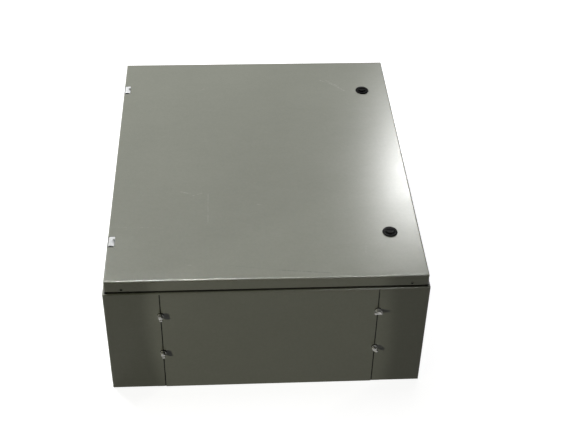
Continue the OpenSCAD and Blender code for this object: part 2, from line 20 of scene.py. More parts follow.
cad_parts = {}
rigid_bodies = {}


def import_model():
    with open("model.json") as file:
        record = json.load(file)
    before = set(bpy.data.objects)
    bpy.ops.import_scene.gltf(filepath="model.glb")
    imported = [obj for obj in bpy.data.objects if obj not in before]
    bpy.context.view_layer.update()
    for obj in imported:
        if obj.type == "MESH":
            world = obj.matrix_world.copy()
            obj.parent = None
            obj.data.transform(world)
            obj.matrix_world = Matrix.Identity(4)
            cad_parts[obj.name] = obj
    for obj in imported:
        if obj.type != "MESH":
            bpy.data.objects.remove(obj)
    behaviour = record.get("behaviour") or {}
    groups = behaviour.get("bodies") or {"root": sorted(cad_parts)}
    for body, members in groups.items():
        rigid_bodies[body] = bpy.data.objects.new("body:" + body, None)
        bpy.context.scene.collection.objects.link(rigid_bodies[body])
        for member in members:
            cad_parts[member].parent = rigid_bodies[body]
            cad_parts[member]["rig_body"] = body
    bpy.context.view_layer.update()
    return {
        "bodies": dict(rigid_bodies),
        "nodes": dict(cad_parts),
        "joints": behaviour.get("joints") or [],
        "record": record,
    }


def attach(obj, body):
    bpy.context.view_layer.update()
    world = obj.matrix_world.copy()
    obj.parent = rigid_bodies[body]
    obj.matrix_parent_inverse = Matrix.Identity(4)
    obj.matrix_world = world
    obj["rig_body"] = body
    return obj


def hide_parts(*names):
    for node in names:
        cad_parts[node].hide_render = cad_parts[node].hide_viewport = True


LOG = logging.getLogger("enclosure")
MM = 0.001
WHITE = (1.0, 1.0, 1.0)
WARM = (1.0, 0.98, 0.66)
MILD = (1.0, 0.985, 0.886)
ROUND = 2 * math.pi
SIXTH = math.pi / 3
# Corners this close together are one corner.
JOIN_WITHIN = 0.002 * MM
# Degrees between faces: the most for one flat, the least for an eased edge, the least for a sharp edge.
FLAT_ANGLE = 0.2
EASED_ANGLE = 28.0
SOFT_ANGLE = 40.0
# Distance across the corners, bore and height.
M8_NUT = (15.04 * MM, 8.0 * MM, 6.4 * MM)

Colour = tuple[float, float, float]
Point = tuple[float, float, float]
Place = tuple[float, float]
Profile = Sequence[Place]


class Body(Enum):
    """Bodies of the frame that pieces ride on."""

    ENCLOSURE = "enclosure"
    DOOR = "door"


class Level(Enum):
    """Ends of the door that the hinges and locks sit at."""

    UPPER = "upper"
    LOWER = "lower"


class Slot(Enum):
    """Material slots of the record."""

    PAINT = "grey_paint"
    ZINC = "zinc_plate"
    GALVANISED = "galvanised"
    PLASTIC = "black_plastic"
    RUBBER = "seal_rubber"


class Reach(Enum):
    """Which shading of a surface a lamp reaches."""

    ALL = "all"
    GLOSS = "gloss"


class Turn(Enum):
    """Ways to turn an upright pattern, as angles about the axes."""

    UP = (0.0, 0.0, 0.0)
    DOWN = (math.pi, 0.0, 0.0)
    OUT = (math.pi / 2, 0.0, 0.0)
    IN = (-math.pi / 2, 0.0, 0.0)


class Thread(Enum):
    """Metric threads, by diameter and pitch."""

    M4 = (4.0 * MM, 0.7 * MM)
    M5 = (5.0 * MM, 0.8 * MM)
    M8 = (8.0 * MM, 1.25 * MM)


class NodeMaker:
    """Node tree under construction, for a material or for geometry."""

    def __init__(self, tree: bpy.types.NodeTree) -> None:
        """Takes the tree that the nodes go into."""
        self.tree = tree

    def node(
        self,
        kind: str,
        settings: dict[str, Any] | None = None,
        sockets: dict[str | int, Any] | None = None,
    ) -> bpy.types.Node:
        """Adds one node.

        Args:
            kind: The node's type.
            settings: Its own settings, which are set first.
            sockets: Values or links of its inputs, by identifier, name or place. A node stands for
                its first output.

        Returns:
            The new node.
        """
        made = self.tree.nodes.new(kind)
        for key, value in (settings or {}).items():
            setattr(made, key, value)
        for key, value in (sockets or {}).items():
            target = made.inputs[key] if isinstance(key, int) else find_socket(made.inputs, key)
            if isinstance(value, Value):
                value = value.socket
            if isinstance(value, bpy.types.Node):
                value = value.outputs[0]
            if isinstance(value, bpy.types.NodeSocket):
                self.tree.links.new(value, target)
            else:
                target.default_value = value
        return made

    def value(
        self,
        kind: str,
        settings: dict[str, Any] | None = None,
        sockets: dict[str | int, Any] | None = None,
        output: str | int = 0,
    ) -> Value:
        """Adds one node and wraps one of its outputs.

        Args:
            kind: The node's type.
            settings: Its own settings.
            sockets: Values or links of its inputs.
            output: The output to wrap, by identifier, name or place.

        Returns:
            The wrapped output.
        """
        made = self.node(kind, settings, sockets)
        socket = made.outputs[output] if isinstance(output, int) else find_socket(made.outputs, output)
        return Value(self, socket)


def find_socket(sockets: Iterable[bpy.types.NodeSocket], key: str) -> bpy.types.NodeSocket:
    """Finds a socket by its identifier, or else by its name.

    Args:
        sockets: A node's inputs or outputs.
        key: The identifier or name.

    Returns:
        The socket.
    """
    listed = list(sockets)
    for socket in listed:
        if socket.identifier == key:
            return socket
    return next(socket for socket in listed if socket.name == key)


class Value:
    """Socket that carries a number, whose operators add Math nodes."""

    def __init__(self, maker: NodeMaker, socket: bpy.types.NodeSocket) -> None:
        """Wraps a socket of a maker's tree."""
        self.maker = maker
        self.socket = socket

    def math(self, operation: str, *others: Value | float, swap: bool = False) -> Value:
        """Adds a Math node.

        Args:
            operation: The Math node's operation.
            others: Its other inputs.
            swap: Whether this value comes last.

        Returns:
            The node's result.
        """
        inputs = [self, *others]
        if swap:
            inputs.reverse()
        return self.maker.value("ShaderNodeMath", {"operation": operation}, dict(enumerate(inputs)))

    def __add__(self, other: Value | float) -> Value:
        """Adds."""
        return self.math("ADD", other)

    def __sub__(self, other: Value | float) -> Value:
        """Subtracts."""
        return self.math("SUBTRACT", other)

    def __rsub__(self, other: Value | float) -> Value:
        """Subtracts from a number."""
        return self.math("SUBTRACT", other, swap=True)

    def __mul__(self, other: Value | float) -> Value:
        """Multiplies."""
        return self.math("MULTIPLY", other)

    def __truediv__(self, other: Value | float) -> Value:
        """Divides."""
        return self.math("DIVIDE", other)

    def __rtruediv__(self, other: Value | float) -> Value:
        """Divides a number."""
        return self.math("DIVIDE", other, swap=True)

    __radd__ = __add__
    __rmul__ = __mul__

    def smooth(self, low: float, high: float) -> Value:
        """Eases from 0 at one level to 1 at another.

        Args:
            low: Level that gives 0.
            high: Level that gives 1, which may be the smaller one.

        Returns:
            The eased value.
        """
        return self.maker.value(
            "ShaderNodeMapRange", {"interpolation_type": "SMOOTHSTEP"},
            {"Value": self, "From Min": low, "From Max": high},
        )


class Surface(NodeMaker):
    """Shader tree of one material."""

    def __init__(self, name: str) -> None:
        """Makes an empty material.

        Args:
            name: Name of the material.
        """
        self.material = bpy.data.materials.new(name)
        self.material.use_nodes = True
        super().__init__(self.material.node_tree)
        self.tree.nodes.clear()
        self.place = self.node("ShaderNodeTexCoord").outputs["Object"]

    def noise(self, scale: float, detail: float = 2.0, stretch: Point | None = None) -> Value:
        """Noise about 0, from -0.5 to 0.5.

        Args:
            scale: Waves in a metre.
            detail: Octaves of finer noise on top.
            stretch: Scale of each axis, for streaks.

        Returns:
            The noise.
        """
        vector = self.place
        if stretch:
            vector = self.node("ShaderNodeMapping", {}, {"Vector": vector, "Scale": stretch}).outputs[0]
        return self.value(
            "ShaderNodeTexNoise", {}, {"Vector": vector, "Scale": scale, "Detail": detail},
        ) - 0.5

    def scaled(self, vector: Any, factor: Value) -> bpy.types.NodeSocket:
        """Multiplies a colour or another vector by a number.

        Args:
            vector: The colour or vector, or its socket.
            factor: What it is multiplied by.

        Returns:
            The product's socket.
        """
        return self.node(
            "ShaderNodeVectorMath", {"operation": "SCALE"}, {0: vector, "Scale": factor},
        ).outputs[0]

    def mixed(self, first: Any, second: Any, factor: Value) -> bpy.types.NodeSocket:
        """Mixes two colours.

        Args:
            first: Colour at factor 0.
            second: Colour at factor 1.
            factor: Share of the second.

        Returns:
            The mixed colour's socket.
        """
        made = self.node(
            "ShaderNodeMix", {"data_type": "RGBA"},
            {"Factor_Float": factor, "A_Color": rgba(first), "B_Color": rgba(second)},
        )
        return find_socket(made.outputs, "Result_Color")

    def bump(
        self, height: Value, strength: float, distance: float, below: bpy.types.NodeSocket | None = None,
    ) -> bpy.types.NodeSocket:
        """Adds a relief to the surface's normal.

        Args:
            height: The relief.
            strength: Share of it that shows.
            distance: Height of a relief of 1.
            below: A coarser relief's normal.

        Returns:
            The normal's socket.
        """
        sockets = {"Height": height, "Strength": strength, "Distance": distance}
        if below:
            sockets["Normal"] = below
        return self.node("ShaderNodeBump", {}, sockets).outputs[0]

    def finish(self, sockets: dict[str, Any]) -> bpy.types.Material:
        """Ends the tree in a Principled shader.

        Args:
            sockets: Values or links of the shader.

        Returns:
            The material.
        """
        shader = self.node("ShaderNodeBsdfPrincipled", {}, sockets)
        self.node("ShaderNodeOutputMaterial", {}, {"Surface": shader})
        return self.material


def rgba(colour: Any) -> Any:
    """Gives a plain colour its alpha and leaves a socket as it is."""
    return colour if isinstance(colour, bpy.types.NodeSocket) else (*colour, 1.0)


@dataclass(frozen=True)
class Mark:
    """Worn line on a surface, or a line of painted shade.

    Attributes:
        start: One end of the line.
        end: Other end of the line.
        width: Half of its width.
        shade: What the surface's colour is multiplied by.
        strength: How much of it shows.
        solid: Whether it is whole, where a dry rub is broken up.
    """

    start: Point
    end: Point
    width: float
    shade: float
    strength: float
    solid: bool = False

    def mask(self, surface: Surface) -> Value:
        """Shows where the mark lies.

        Args:
            surface: Shader tree that it goes into.

        Returns:
            Its strength over the surface.
        """
        start = Vector(self.start)
        along = Vector(self.end) - start
        from_start = surface.node(
            "ShaderNodeVectorMath", {"operation": "SUBTRACT"}, {0: surface.place, 1: start},
        )
        share = surface.value(
            "ShaderNodeVectorMath", {"operation": "DOT_PRODUCT"},
            {0: from_start, 1: along / along.length_squared}, "Value",
        )
        held = surface.value("ShaderNodeClamp", {}, {"Value": share})
        foot = surface.scaled(along, held)
        distance = surface.value(
            "ShaderNodeVectorMath", {"operation": "DISTANCE"}, {0: from_start, 1: foot}, "Value",
        )
        core = 0.85 if self.solid else 0.2
        mask = distance.smooth(self.width, self.width * core)
        if not self.solid:
            mask = mask * surface.noise(160.0, 4.0).smooth(-0.18, 0.12)
        return mask * self.strength


@dataclass(frozen=True)
class PowderPaint:
    """Grey-green powder paint with a fine orange peel, handling smudges and a few scratches.

    Attributes:
        name: Name of the material.
        colour: Colour of clean paint.
        roughness: Roughness of clean paint.
        smudge: How strongly handling shows.
        marks: Scratches and scuffs, and painted shade in gaps and holes.
    """

    name: str
    colour: Colour = (0.262, 0.270, 0.232)
    roughness: float = 0.20
    smudge: float = 1.0
    marks: tuple[Mark, ...] = ()

    def material(self) -> bpy.types.Material:
        """Builds the material.

        Returns:
            The material.
        """
        surface = Surface(self.name)
        patches = surface.noise(5.0, 3.0)
        smears = surface.noise(38.0, 5.0, (0.6, 1.7, 1.0))
        mottle = surface.noise(170.0, 2.0)
        grain = surface.noise(700.0, 2.0)
        peel = surface.noise(260.0, 1.0)
        wave = surface.noise(3.2, 0.0)
        shade = 1.0 + patches * (0.10 * self.smudge) + smears * (0.05 * self.smudge)
        shade = shade + mottle * 0.10 + grain * 0.10
        colour = surface.scaled(self.colour, shade)
        rough = self.roughness + smears * (0.10 * self.smudge) + grain * 0.06
        # Marks scale the colour: scratches and scuffs, and painted shade in gaps and holes.
        for mark in self.marks:
            mask = mark.mask(surface)
            colour = surface.scaled(colour, 1.0 + mask * (mark.shade - 1.0))
            rough = rough + mask * 0.15
        normal = surface.bump(wave, 0.16, 0.004)
        normal = surface.bump(peel, 0.12, 0.0004, normal)
        return surface.finish(
            {"Base Color": colour, "Roughness": rough, "Normal": normal, "Specular IOR Level": 0.18}
        )


@dataclass(frozen=True)
class ZincPlate:
    """Bright zinc plating with fine tumbling marks and a faint bloom.

    Attributes:
        name: Name of the material.
        colour: Colour of the clean metal.
        bloom: Colour of the passivated patches.
        roughness: Roughness of the clean metal.
        metal: Share of bare metal in the finish.
        gloss: Level of the shine on what isn't bare metal.
        marks: Painted shade on it.
    """

    name: str
    colour: Colour = (0.74, 0.75, 0.76)
    bloom: Colour = (0.60, 0.59, 0.54)
    roughness: float = 0.38
    metal: float = 0.55
    gloss: float = 0.5
    marks: tuple[Mark, ...] = ()

    def material(self) -> bpy.types.Material:
        """Builds the material.

        Returns:
            The material.
        """
        surface = Surface(self.name)
        tumbled = surface.noise(900.0, 4.0)
        bloom = surface.noise(150.0, 3.0).smooth(-0.05, 0.25)
        colour = surface.mixed(self.colour, self.bloom, bloom * 0.5)
        # Each mark darkens the colour as painted shade.
        for mark in self.marks:
            colour = surface.scaled(colour, 1.0 + mark.mask(surface) * (mark.shade - 1.0))
        rough = self.roughness + tumbled * 0.18 + bloom * 0.12
        normal = surface.bump(tumbled, 0.15, 0.0002)
        return surface.finish(
            {
                "Base Color": colour, "Roughness": rough, "Metallic": self.metal, "Normal": normal,
                "Specular IOR Level": self.gloss,
            }
        )


@dataclass(frozen=True)
class GalvanisedSheet:
    """Hot-dip galvanised sheet with its crystal spangle.

    Attributes:
        name: Name of the material.
        colour: Middle tone of the crystals.
        spangle: Crystals in a metre.
    """

    name: str
    colour: Colour = (0.50, 0.53, 0.55)
    spangle: float = 85.0

    def material(self) -> bpy.types.Material:
        """Builds the material.

        Returns:
            The material.
        """
        surface = Surface(self.name)
        crystal = surface.node(
            "ShaderNodeTexVoronoi", {}, {"Vector": surface.place, "Scale": self.spangle},
        ).outputs["Color"]
        tone = surface.value("ShaderNodeSeparateColor", {}, {0: crystal}) - 0.5
        cloud = surface.noise(12.0, 4.0)
        scuffs = surface.noise(240.0, 3.0, (1.0, 0.15, 1.0))
        colour = surface.scaled(self.colour, 1.0 + tone * 0.30 + cloud * 0.15)
        rough = 0.58 + tone * 0.16 + scuffs * 0.15
        normal = surface.bump(tone + scuffs, 0.10, 0.0004)
        return surface.finish(
            {"Base Color": colour, "Roughness": rough, "Metallic": 0.35, "Normal": normal}
        )


@dataclass(frozen=True)
class MouldedPlastic:
    """Black moulded plastic with a fine spark-eroded texture.

    Attributes:
        name: Name of the material.
        colour: Colour of the plastic.
    """

    name: str
    colour: Colour = (0.007, 0.007, 0.007)

    def material(self) -> bpy.types.Material:
        """Builds the material.

        Returns:
            The material.
        """
        surface = Surface(self.name)
        texture = surface.noise(1500.0, 2.0)
        handling = surface.noise(140.0, 4.0)
        colour = surface.scaled(self.colour, 1.0 + handling * 0.8)
        rough = 0.55 + texture * 0.12 + handling * 0.15
        normal = surface.bump(texture, 0.2, 0.0002)
        return surface.finish(
            {"Base Color": colour, "Roughness": rough, "Normal": normal, "Specular IOR Level": 0.04}
        )


@dataclass(frozen=True)
class FoamRubber:
    """Dark foam rubber with an open skin of small cells.

    Attributes:
        name: Name of the material.
        colour: Colour of the foam.
        cells: Cells in a metre.
    """

    name: str
    colour: Colour = (0.020, 0.020, 0.022)
    cells: float = 900.0

    def material(self) -> bpy.types.Material:
        """Builds the material.

        Returns:
            The material.
        """
        surface = Surface(self.name)
        cell = surface.value("ShaderNodeTexVoronoi", {}, {"Vector": surface.place, "Scale": self.cells})
        dust = surface.noise(70.0, 4.0).smooth(0.0, 0.3)
        colour = surface.mixed(self.colour, (0.07, 0.07, 0.065), dust * 0.5)
        rough = 0.82 + cell * 0.15
        normal = surface.bump(cell, 0.35, 0.0006)
        return surface.finish(
            {"Base Color": colour, "Roughness": rough, "Normal": normal, "Specular IOR Level": 0.3}
        )


@dataclass(frozen=True)
class StudioFloor:
    """Plain pale floor that keeps the object's shadow and throws little light back.

    Attributes:
        name: Name of the material.
        bounce: Lightness towards the object's matt faces.
        glow: Share of white that the lamps don't have to give.
    """

    name: str
    bounce: float = 0.05
    glow: float = 0.90

    def material(self) -> bpy.types.Material:
        """Builds the material.

        Returns:
            The material.
        """
        surface = Surface(self.name)
        path = surface.node("ShaderNodeLightPath")
        seen = Value(surface, path.outputs["Is Camera Ray"])
        for ray in ("Is Glossy Ray", "Is Transmission Ray"):
            seen = seen.math("MAXIMUM", Value(surface, path.outputs[ray]))
        tone = 0.5 + surface.noise(2.0, 2.0) * 0.02
        grey = (self.bounce, self.bounce, self.bounce)
        dim = surface.node("ShaderNodeBsdfDiffuse", {}, {"Color": rgba(grey)})
        lit = surface.node("ShaderNodeBsdfDiffuse", {}, {"Color": surface.scaled(WHITE, tone)})
        white = surface.node("ShaderNodeEmission", {}, {"Color": rgba(WHITE), "Strength": self.glow})
        pale = surface.node("ShaderNodeAddShader", {}, {0: lit, 1: white})
        mixed = surface.node("ShaderNodeMixShader", {}, {0: seen, 1: dim, 2: pale})
        surface.node("ShaderNodeOutputMaterial", {}, {"Surface": mixed})
        return surface.material


class Recipe(NodeMaker):
    """Geometry node tree with named inputs."""

    def __init__(self, name: str) -> None:
        """Makes a tree that takes and gives geometry.

        Args:
            name: Name of the tree.
        """
        super().__init__(bpy.data.node_groups.new(name, "GeometryNodeTree"))
        self.tree.interface.new_socket("Geometry", in_out="OUTPUT", socket_type="NodeSocketGeometry")
        self.identifiers: dict[str, str] = {}
        self.enter = self.node("NodeGroupInput")
        self.leave = self.node("NodeGroupOutput")

    def input(self, name: str, kind: str = "Float") -> bpy.types.NodeSocket:
        """Adds a named input.

        Args:
            name: The input's name.
            kind: Its kind of socket, such as Float, Int, Vector, Object, Material or Geometry.

        Returns:
            The socket that carries it.
        """
        item = self.tree.interface.new_socket(name, in_out="INPUT", socket_type="NodeSocket" + kind)
        self.identifiers[name] = item.identifier
        return find_socket(self.enter.outputs, item.identifier)

    def number(self, name: str) -> Value:
        """Adds a named number."""
        return Value(self, self.input(name))

    def close(self, geometry: bpy.types.Node, material: bpy.types.NodeSocket) -> Recipe:
        """Ends the tree in real geometry with a material.

        Args:
            geometry: Node that gives what the tree has made.
            material: The material's input.

        Returns:
            This recipe.
        """
        real = self.node("GeometryNodeRealizeInstances", {}, {"Geometry": geometry})
        dressed = self.node("GeometryNodeSetMaterial", {}, {"Geometry": real, "Material": material})
        self.tree.links.new(dressed.outputs[0], self.leave.inputs[0])
        return self

    def grow(self, piece: bpy.types.Object, values: dict[str, Any]) -> bpy.types.Object:
        """Runs the tree on a piece and leaves a plain mesh.

        Args:
            piece: The piece, whose mesh feeds the tree.
            values: Values of the named inputs.

        Returns:
            The piece with its new mesh.
        """
        modifier = piece.modifiers.new("grow", "NODES")
        modifier.node_group = self.tree
        for name, value in values.items():
            modifier[self.identifiers[name]] = value
        settle(piece)
        return piece


def settle(piece: bpy.types.Object) -> None:
    """Turns a piece and its modifiers into a plain mesh.

    Args:
        piece: The piece.
    """
    graph = bpy.context.evaluated_depsgraph_get()
    mesh = bpy.data.meshes.new_from_object(piece.evaluated_get(graph), depsgraph=graph)
    piece.modifiers.clear()
    piece.data = mesh


def new_piece(name: str, mesh: bpy.types.Mesh | None = None) -> bpy.types.Object:
    """Adds an object at the origin.

    Args:
        name: Its name.
        mesh: Its mesh, or none for an empty one.

    Returns:
        The object.
    """
    piece = bpy.data.objects.new(name, mesh or bpy.data.meshes.new(name))
    bpy.context.scene.collection.objects.link(piece)
    return piece


def at_points(name: str, points: Iterable[Sequence[float]]) -> bpy.types.Object:
    """Makes a piece of loose points, for a recipe to fill.

    Args:
        name: Its name.
        points: Where the points are.

    Returns:
        The piece.
    """
    piece = new_piece(name)
    piece.data.from_pydata([tuple(p) for p in points], [], [])
    return piece


def along_lines(
    name: str, lines: Iterable[Sequence[Sequence[float]]], closed: bool = False,
) -> bpy.types.Object:
    """Makes a piece of polylines, for a recipe to follow.

    Args:
        name: Its name.
        lines: The points of each line.
        closed: Whether each line returns to its start.

    Returns:
        The piece.
    """
    points: list[tuple[float, ...]] = []
    edges: list[tuple[int, int]] = []
    for line in lines:
        first = len(points)
        points.extend(tuple(p) for p in line)
        edges.extend((i, i + 1) for i in range(first, len(points) - 1))
        if closed:
            edges.append((len(points) - 1, first))
    piece = new_piece(name)
    piece.data.from_pydata(points, edges, [])
    return piece


def to_mesh(name: str, work: bmesh.types.BMesh) -> bpy.types.Mesh:
    """Ends an edit in a new mesh.

    Args:
        name: Name of the mesh.
        work: The edit, which is freed.

    Returns:
        The mesh.
    """
    mesh = bpy.data.meshes.new(name)
    work.to_mesh(mesh)
    work.free()
    return mesh


def shade(work: bmesh.types.BMesh, crease: float) -> None:
    """Marks faces smooth and edges past the crease angle sharp.

    Args:
        work: The mesh under edit.
        crease: The angle in degrees.
    """
    limit = math.radians(crease)
    for face in work.faces:
        face.smooth = True
    for edge in work.edges:
        edge.smooth = len(edge.link_faces) == 2 and edge.calc_face_angle(math.pi) < limit


def turned(name: str, profile: Profile, across_flats: float = 0.0, steps: int = 48) -> bpy.types.Mesh:
    """Turns a closed profile round Z, and mills six flats if it has them.

    Args:
        name: Name of the mesh.
        profile: Points of radius and height, anticlockwise in the half plane.
        across_flats: Distance across the flats, or 0 for a round piece.
        steps: Faces round the axis.

    Returns:
        The mesh.
    """
    crease = 32.0
    work = bmesh.new()
    rings = []
    for radius, height in profile:
        ring = []
        for k in range(steps):
            angle = ROUND * k / steps
            reach = radius
            if across_flats:
                off = (angle % SIXTH) - SIXTH / 2
                reach = min(radius, across_flats / 2 / math.cos(off))
            if radius == 0 and ring:
                ring.append(ring[0])
            else:
                ring.append(work.verts.new((reach * math.cos(angle), reach * math.sin(angle), height)))
        rings.append(ring)
    for first, second in zip(rings, rings[1:] + rings[:1]):
        for k in range(steps):
            corners = [first[k], first[(k + 1) % steps], second[(k + 1) % steps], second[k]]
            unique = list(dict.fromkeys(corners))
            if len(unique) > 2:
                work.faces.new(unique)
    bmesh.ops.recalc_face_normals(work, faces=work.faces)
    shade(work, crease)
    return to_mesh(name, work)


@dataclass(frozen=True)
class Folds:
    """Outside of a folded sheet box, which tells the true slope of its folds.

    Attributes:
        low: Lowest corner.
        high: Highest corner.
        radius: Outside radius of the folds.
        off_axis: Lean towards an axis below which a facet runs along it.
        flat_by: Distance from the folds' middles below which a place is flat.
        near_by: Lean between facet and fold below which the facet isn't on the fold.
    """

    low: Point
    high: Point
    radius: float
    off_axis: float = 0.002
    flat_by: float = 0.2 * MM
    near_by: float = 0.8

    def slope(self, point: Vector, facing: Vector) -> Vector | None:
        """Gives the true normal on a fold.

        Args:
            point: Place on the surface.
            facing: Normal of the facet there.

        Returns:
            The normal, or none away from the folds.
        """
        away = Vector()
        for axis, (low, high) in enumerate(zip(self.low, self.high)):
            if abs(facing[axis]) > self.off_axis:
                middle = min(max(point[axis], low + self.radius), high - self.radius)
                away[axis] = point[axis] - middle
        if away.length < self.flat_by:
            return None
        away.normalize()
        lean = away.dot(facing)
        if abs(lean) < self.near_by:
            return None
        return away if lean > 0.0 else -away


@dataclass
class Workshop:
    """Frame, finishes and recipes that the sub-assemblies share.

    Attributes:
        finishes: Materials by slot.
        recipes: Geometry recipes by name.
    """

    frame: dict[str, Any]
    finishes: dict[Slot, bpy.types.Material]
    recipes: dict[str, Recipe] = field(default_factory=dict)

    def dress(self, node: str, material: bpy.types.Material) -> None:
        """Gives a CAD node its finish.

        Args:
            node: The node.
            material: Its finish.
        """
        mesh = self.frame["nodes"][node].data
        mesh.materials.clear()
        mesh.materials.append(material)
        LOG.info("%s keeps its solid in %s", node, material.name)

    def place(self, piece: bpy.types.Object, body: str, slot: Slot, *replaced: str) -> bpy.types.Object:
        """Sets a finished piece on its body.

        Args:
            piece: The piece.
            body: The body that it rides on.
            slot: Its material slot in the record.
            replaced: CAD nodes that it stands for.

        Returns:
            The piece.
        """
        if not piece.data.materials:
            piece.data.materials.append(self.finishes[slot])
        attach(piece, body)
        if replaced:
            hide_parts(*replaced)
        LOG.info("%s rides on %s, %d faces", piece.name, body, len(piece.data.polygons))
        return piece

    def body_of(self, node: str) -> str:
        """Names the body that a CAD node rides on."""
        return self.frame["nodes"][node]["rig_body"]

    def joined(self, node: str) -> bmesh.types.BMesh:
        """Copies a CAD node's loose faces into one skin.

        Args:
            node: The node.

        Returns:
            The skin.
        """
        work = bmesh.new()
        work.from_mesh(self.frame["nodes"][node].data)
        bmesh.ops.remove_doubles(work, verts=work.verts, dist=JOIN_WITHIN)
        return work

    def merged(self, node: str, name: str) -> bpy.types.Object:
        """Copies a CAD node into one piece with whole flats.

        Args:
            node: The node.
            name: Name of the copy.

        Returns:
            The copy.
        """
        work = self.joined(node)
        bmesh.ops.dissolve_limit(
            work, angle_limit=math.radians(FLAT_ANGLE), verts=work.verts, edges=work.edges,
            use_dissolve_boundaries=False,
        )
        return new_piece(name, to_mesh(name, work))

    def smoothed(
        self, node: str, name: str, folds: Folds, material: bpy.types.Material,
    ) -> bpy.types.Object:
        """Stands a copy with smooth folds and true flats in for a painted CAD node.

        Args:
            node: The node.
            name: Name of the copy.
            folds: Its outside.
            material: Its finish.

        Returns:
            The copy.
        """
        work = self.joined(node)
        shade(work, SOFT_ANGLE)
        mesh = to_mesh(name, work)
        straight = 0.9999
        normals = [Vector(corner.vector) for corner in mesh.corner_normals]
        for face in mesh.polygons:
            flat = max(abs(part) for part in face.normal) > straight
            for index in face.loop_indices:
                point = mesh.vertices[mesh.loops[index].vertex_index].co
                slope = face.normal if flat else folds.slope(point, face.normal)
                normals[index] = slope or normals[index]
        mesh.normals_split_custom_set(normals)
        mesh.materials.clear()
        mesh.materials.append(material)
        return self.place(new_piece(name, mesh), self.body_of(node), Slot.PAINT, node)

    def eased(
        self, node: str, name: str, slot: Slot, width: float, material: bpy.types.Material | None = None,
    ) -> bpy.types.Object:
        """Stands a copy with eased edges and true flats in for a CAD node.

        Args:
            node: The node.
            name: Name of the copy.
            slot: Its material slot.
            width: Width of the easing.
            material: Its finish, or none for the slot's own.

        Returns:
            The copy.
        """
        piece = self.merged(node, name)
        bevel = piece.modifiers.new("ease", "BEVEL")
        bevel.width = width
        bevel.segments = 2
        bevel.limit_method = "ANGLE"
        bevel.angle_limit = math.radians(EASED_ANGLE)
        bevel.use_clamp_overlap = True
        settle(piece)
        work = bmesh.new()
        work.from_mesh(piece.data)
        shade(work, SOFT_ANGLE)
        work.to_mesh(piece.data)
        work.free()
        flats = piece.modifiers.new("flats", "WEIGHTED_NORMAL")
        flats.weight = 100
        flats.keep_sharp = True
        settle(piece)
        if material:
            piece.data.materials.append(material)
        return self.place(piece, self.body_of(node), slot, node)

    def set_out(
        self, name: str, mesh: bpy.types.Mesh, points: Iterable[Sequence[float]], slot: Slot, body: str,
        turn: Turn = Turn.UP, spin: float = 0.0, seed: int = 1, replaced: Sequence[str] = (),
    ) -> bpy.types.Object:
        """Sets a repeated piece out at its places.

        Args:
            name: Name of the piece.
            mesh: One of it, standing on the origin.
            points: Its places.
            slot: Its material slot.
            body: The body that it rides on.
            turn: How each one is turned.
            spin: Largest turn of each one about its own axis.
            seed: Seed of those turns.
            replaced: CAD nodes that it stands for.

        Returns:
            The piece.
        """
        pattern = new_piece(name + "_pattern", mesh)
        piece = self.recipes["set_out"].grow(at_points(name, points), {
            "Piece": pattern, "Turn": turn.value, "Spin": spin, "Seed": seed,
            "Material": self.finishes[slot],
        })
        bpy.data.objects.remove(pattern)
        return self.place(piece, body, slot, *replaced)

    def threads(
        self, name: str, points: Iterable[Sequence[float]], thread: Thread, length: float, body: str,
        turn: Turn = Turn.UP, replaced: Sequence[str] = (),
    ) -> bpy.types.Object:
        """Cuts threaded rods at their places.

        Args:
            name: Name of the piece.
            points: Feet of the rods.
            thread: Their thread.
            length: Length of each rod.
            body: The body that they ride on.
            turn: How each rod is turned.
            replaced: CAD nodes that they stand for.

        Returns:
            The piece.
        """
        diameter, pitch = thread.value
        rows_a_pitch = 6
        cut = 0.55
        piece = self.recipes["threads"].grow(at_points(name, points), {
            "Radius": diameter / 2, "Length": length, "Pitch": pitch, "Depth": cut * pitch,
            "Rows": math.ceil(length / pitch * rows_a_pitch), "Turn": turn.value,
            "Material": self.finishes[Slot.ZINC],
        })
        return self.place(piece, body, Slot.ZINC, *replaced)


def set_out_recipe() -> Recipe:
    """Builds the recipe that sets one pattern out at points.

    Returns:
        The recipe.
    """
    recipe = Recipe("set_out")
    points = recipe.input("Points", "Geometry")
    pattern = recipe.input("Piece", "Object")
    turn = recipe.input("Turn", "Vector")
    spin = recipe.input("Spin")
    seed = recipe.input("Seed", "Int")
    material = recipe.input("Material", "Material")
    shape = recipe.node("GeometryNodeObjectInfo", {"transform_space": "ORIGINAL"}, {"Object": pattern})
    random = recipe.value(
        "FunctionNodeRandomValue", {"data_type": "FLOAT"},
        {"Min_001": 0.0, "Max_001": spin, "Seed": seed}, "Value_001",
    )
    own = recipe.node("ShaderNodeCombineXYZ", {}, {"Z": random})
    turned_by = recipe.node(
        "FunctionNodeRotateRotation", {"rotation_space": "LOCAL"}, {"Rotation": turn, "Rotate By": own},
    )
    placed = recipe.node(
        "GeometryNodeInstanceOnPoints", {},
        {"Points": points, "Instance": shape.outputs["Geometry"], "Rotation": turned_by},
    )
    return recipe.close(placed, material)


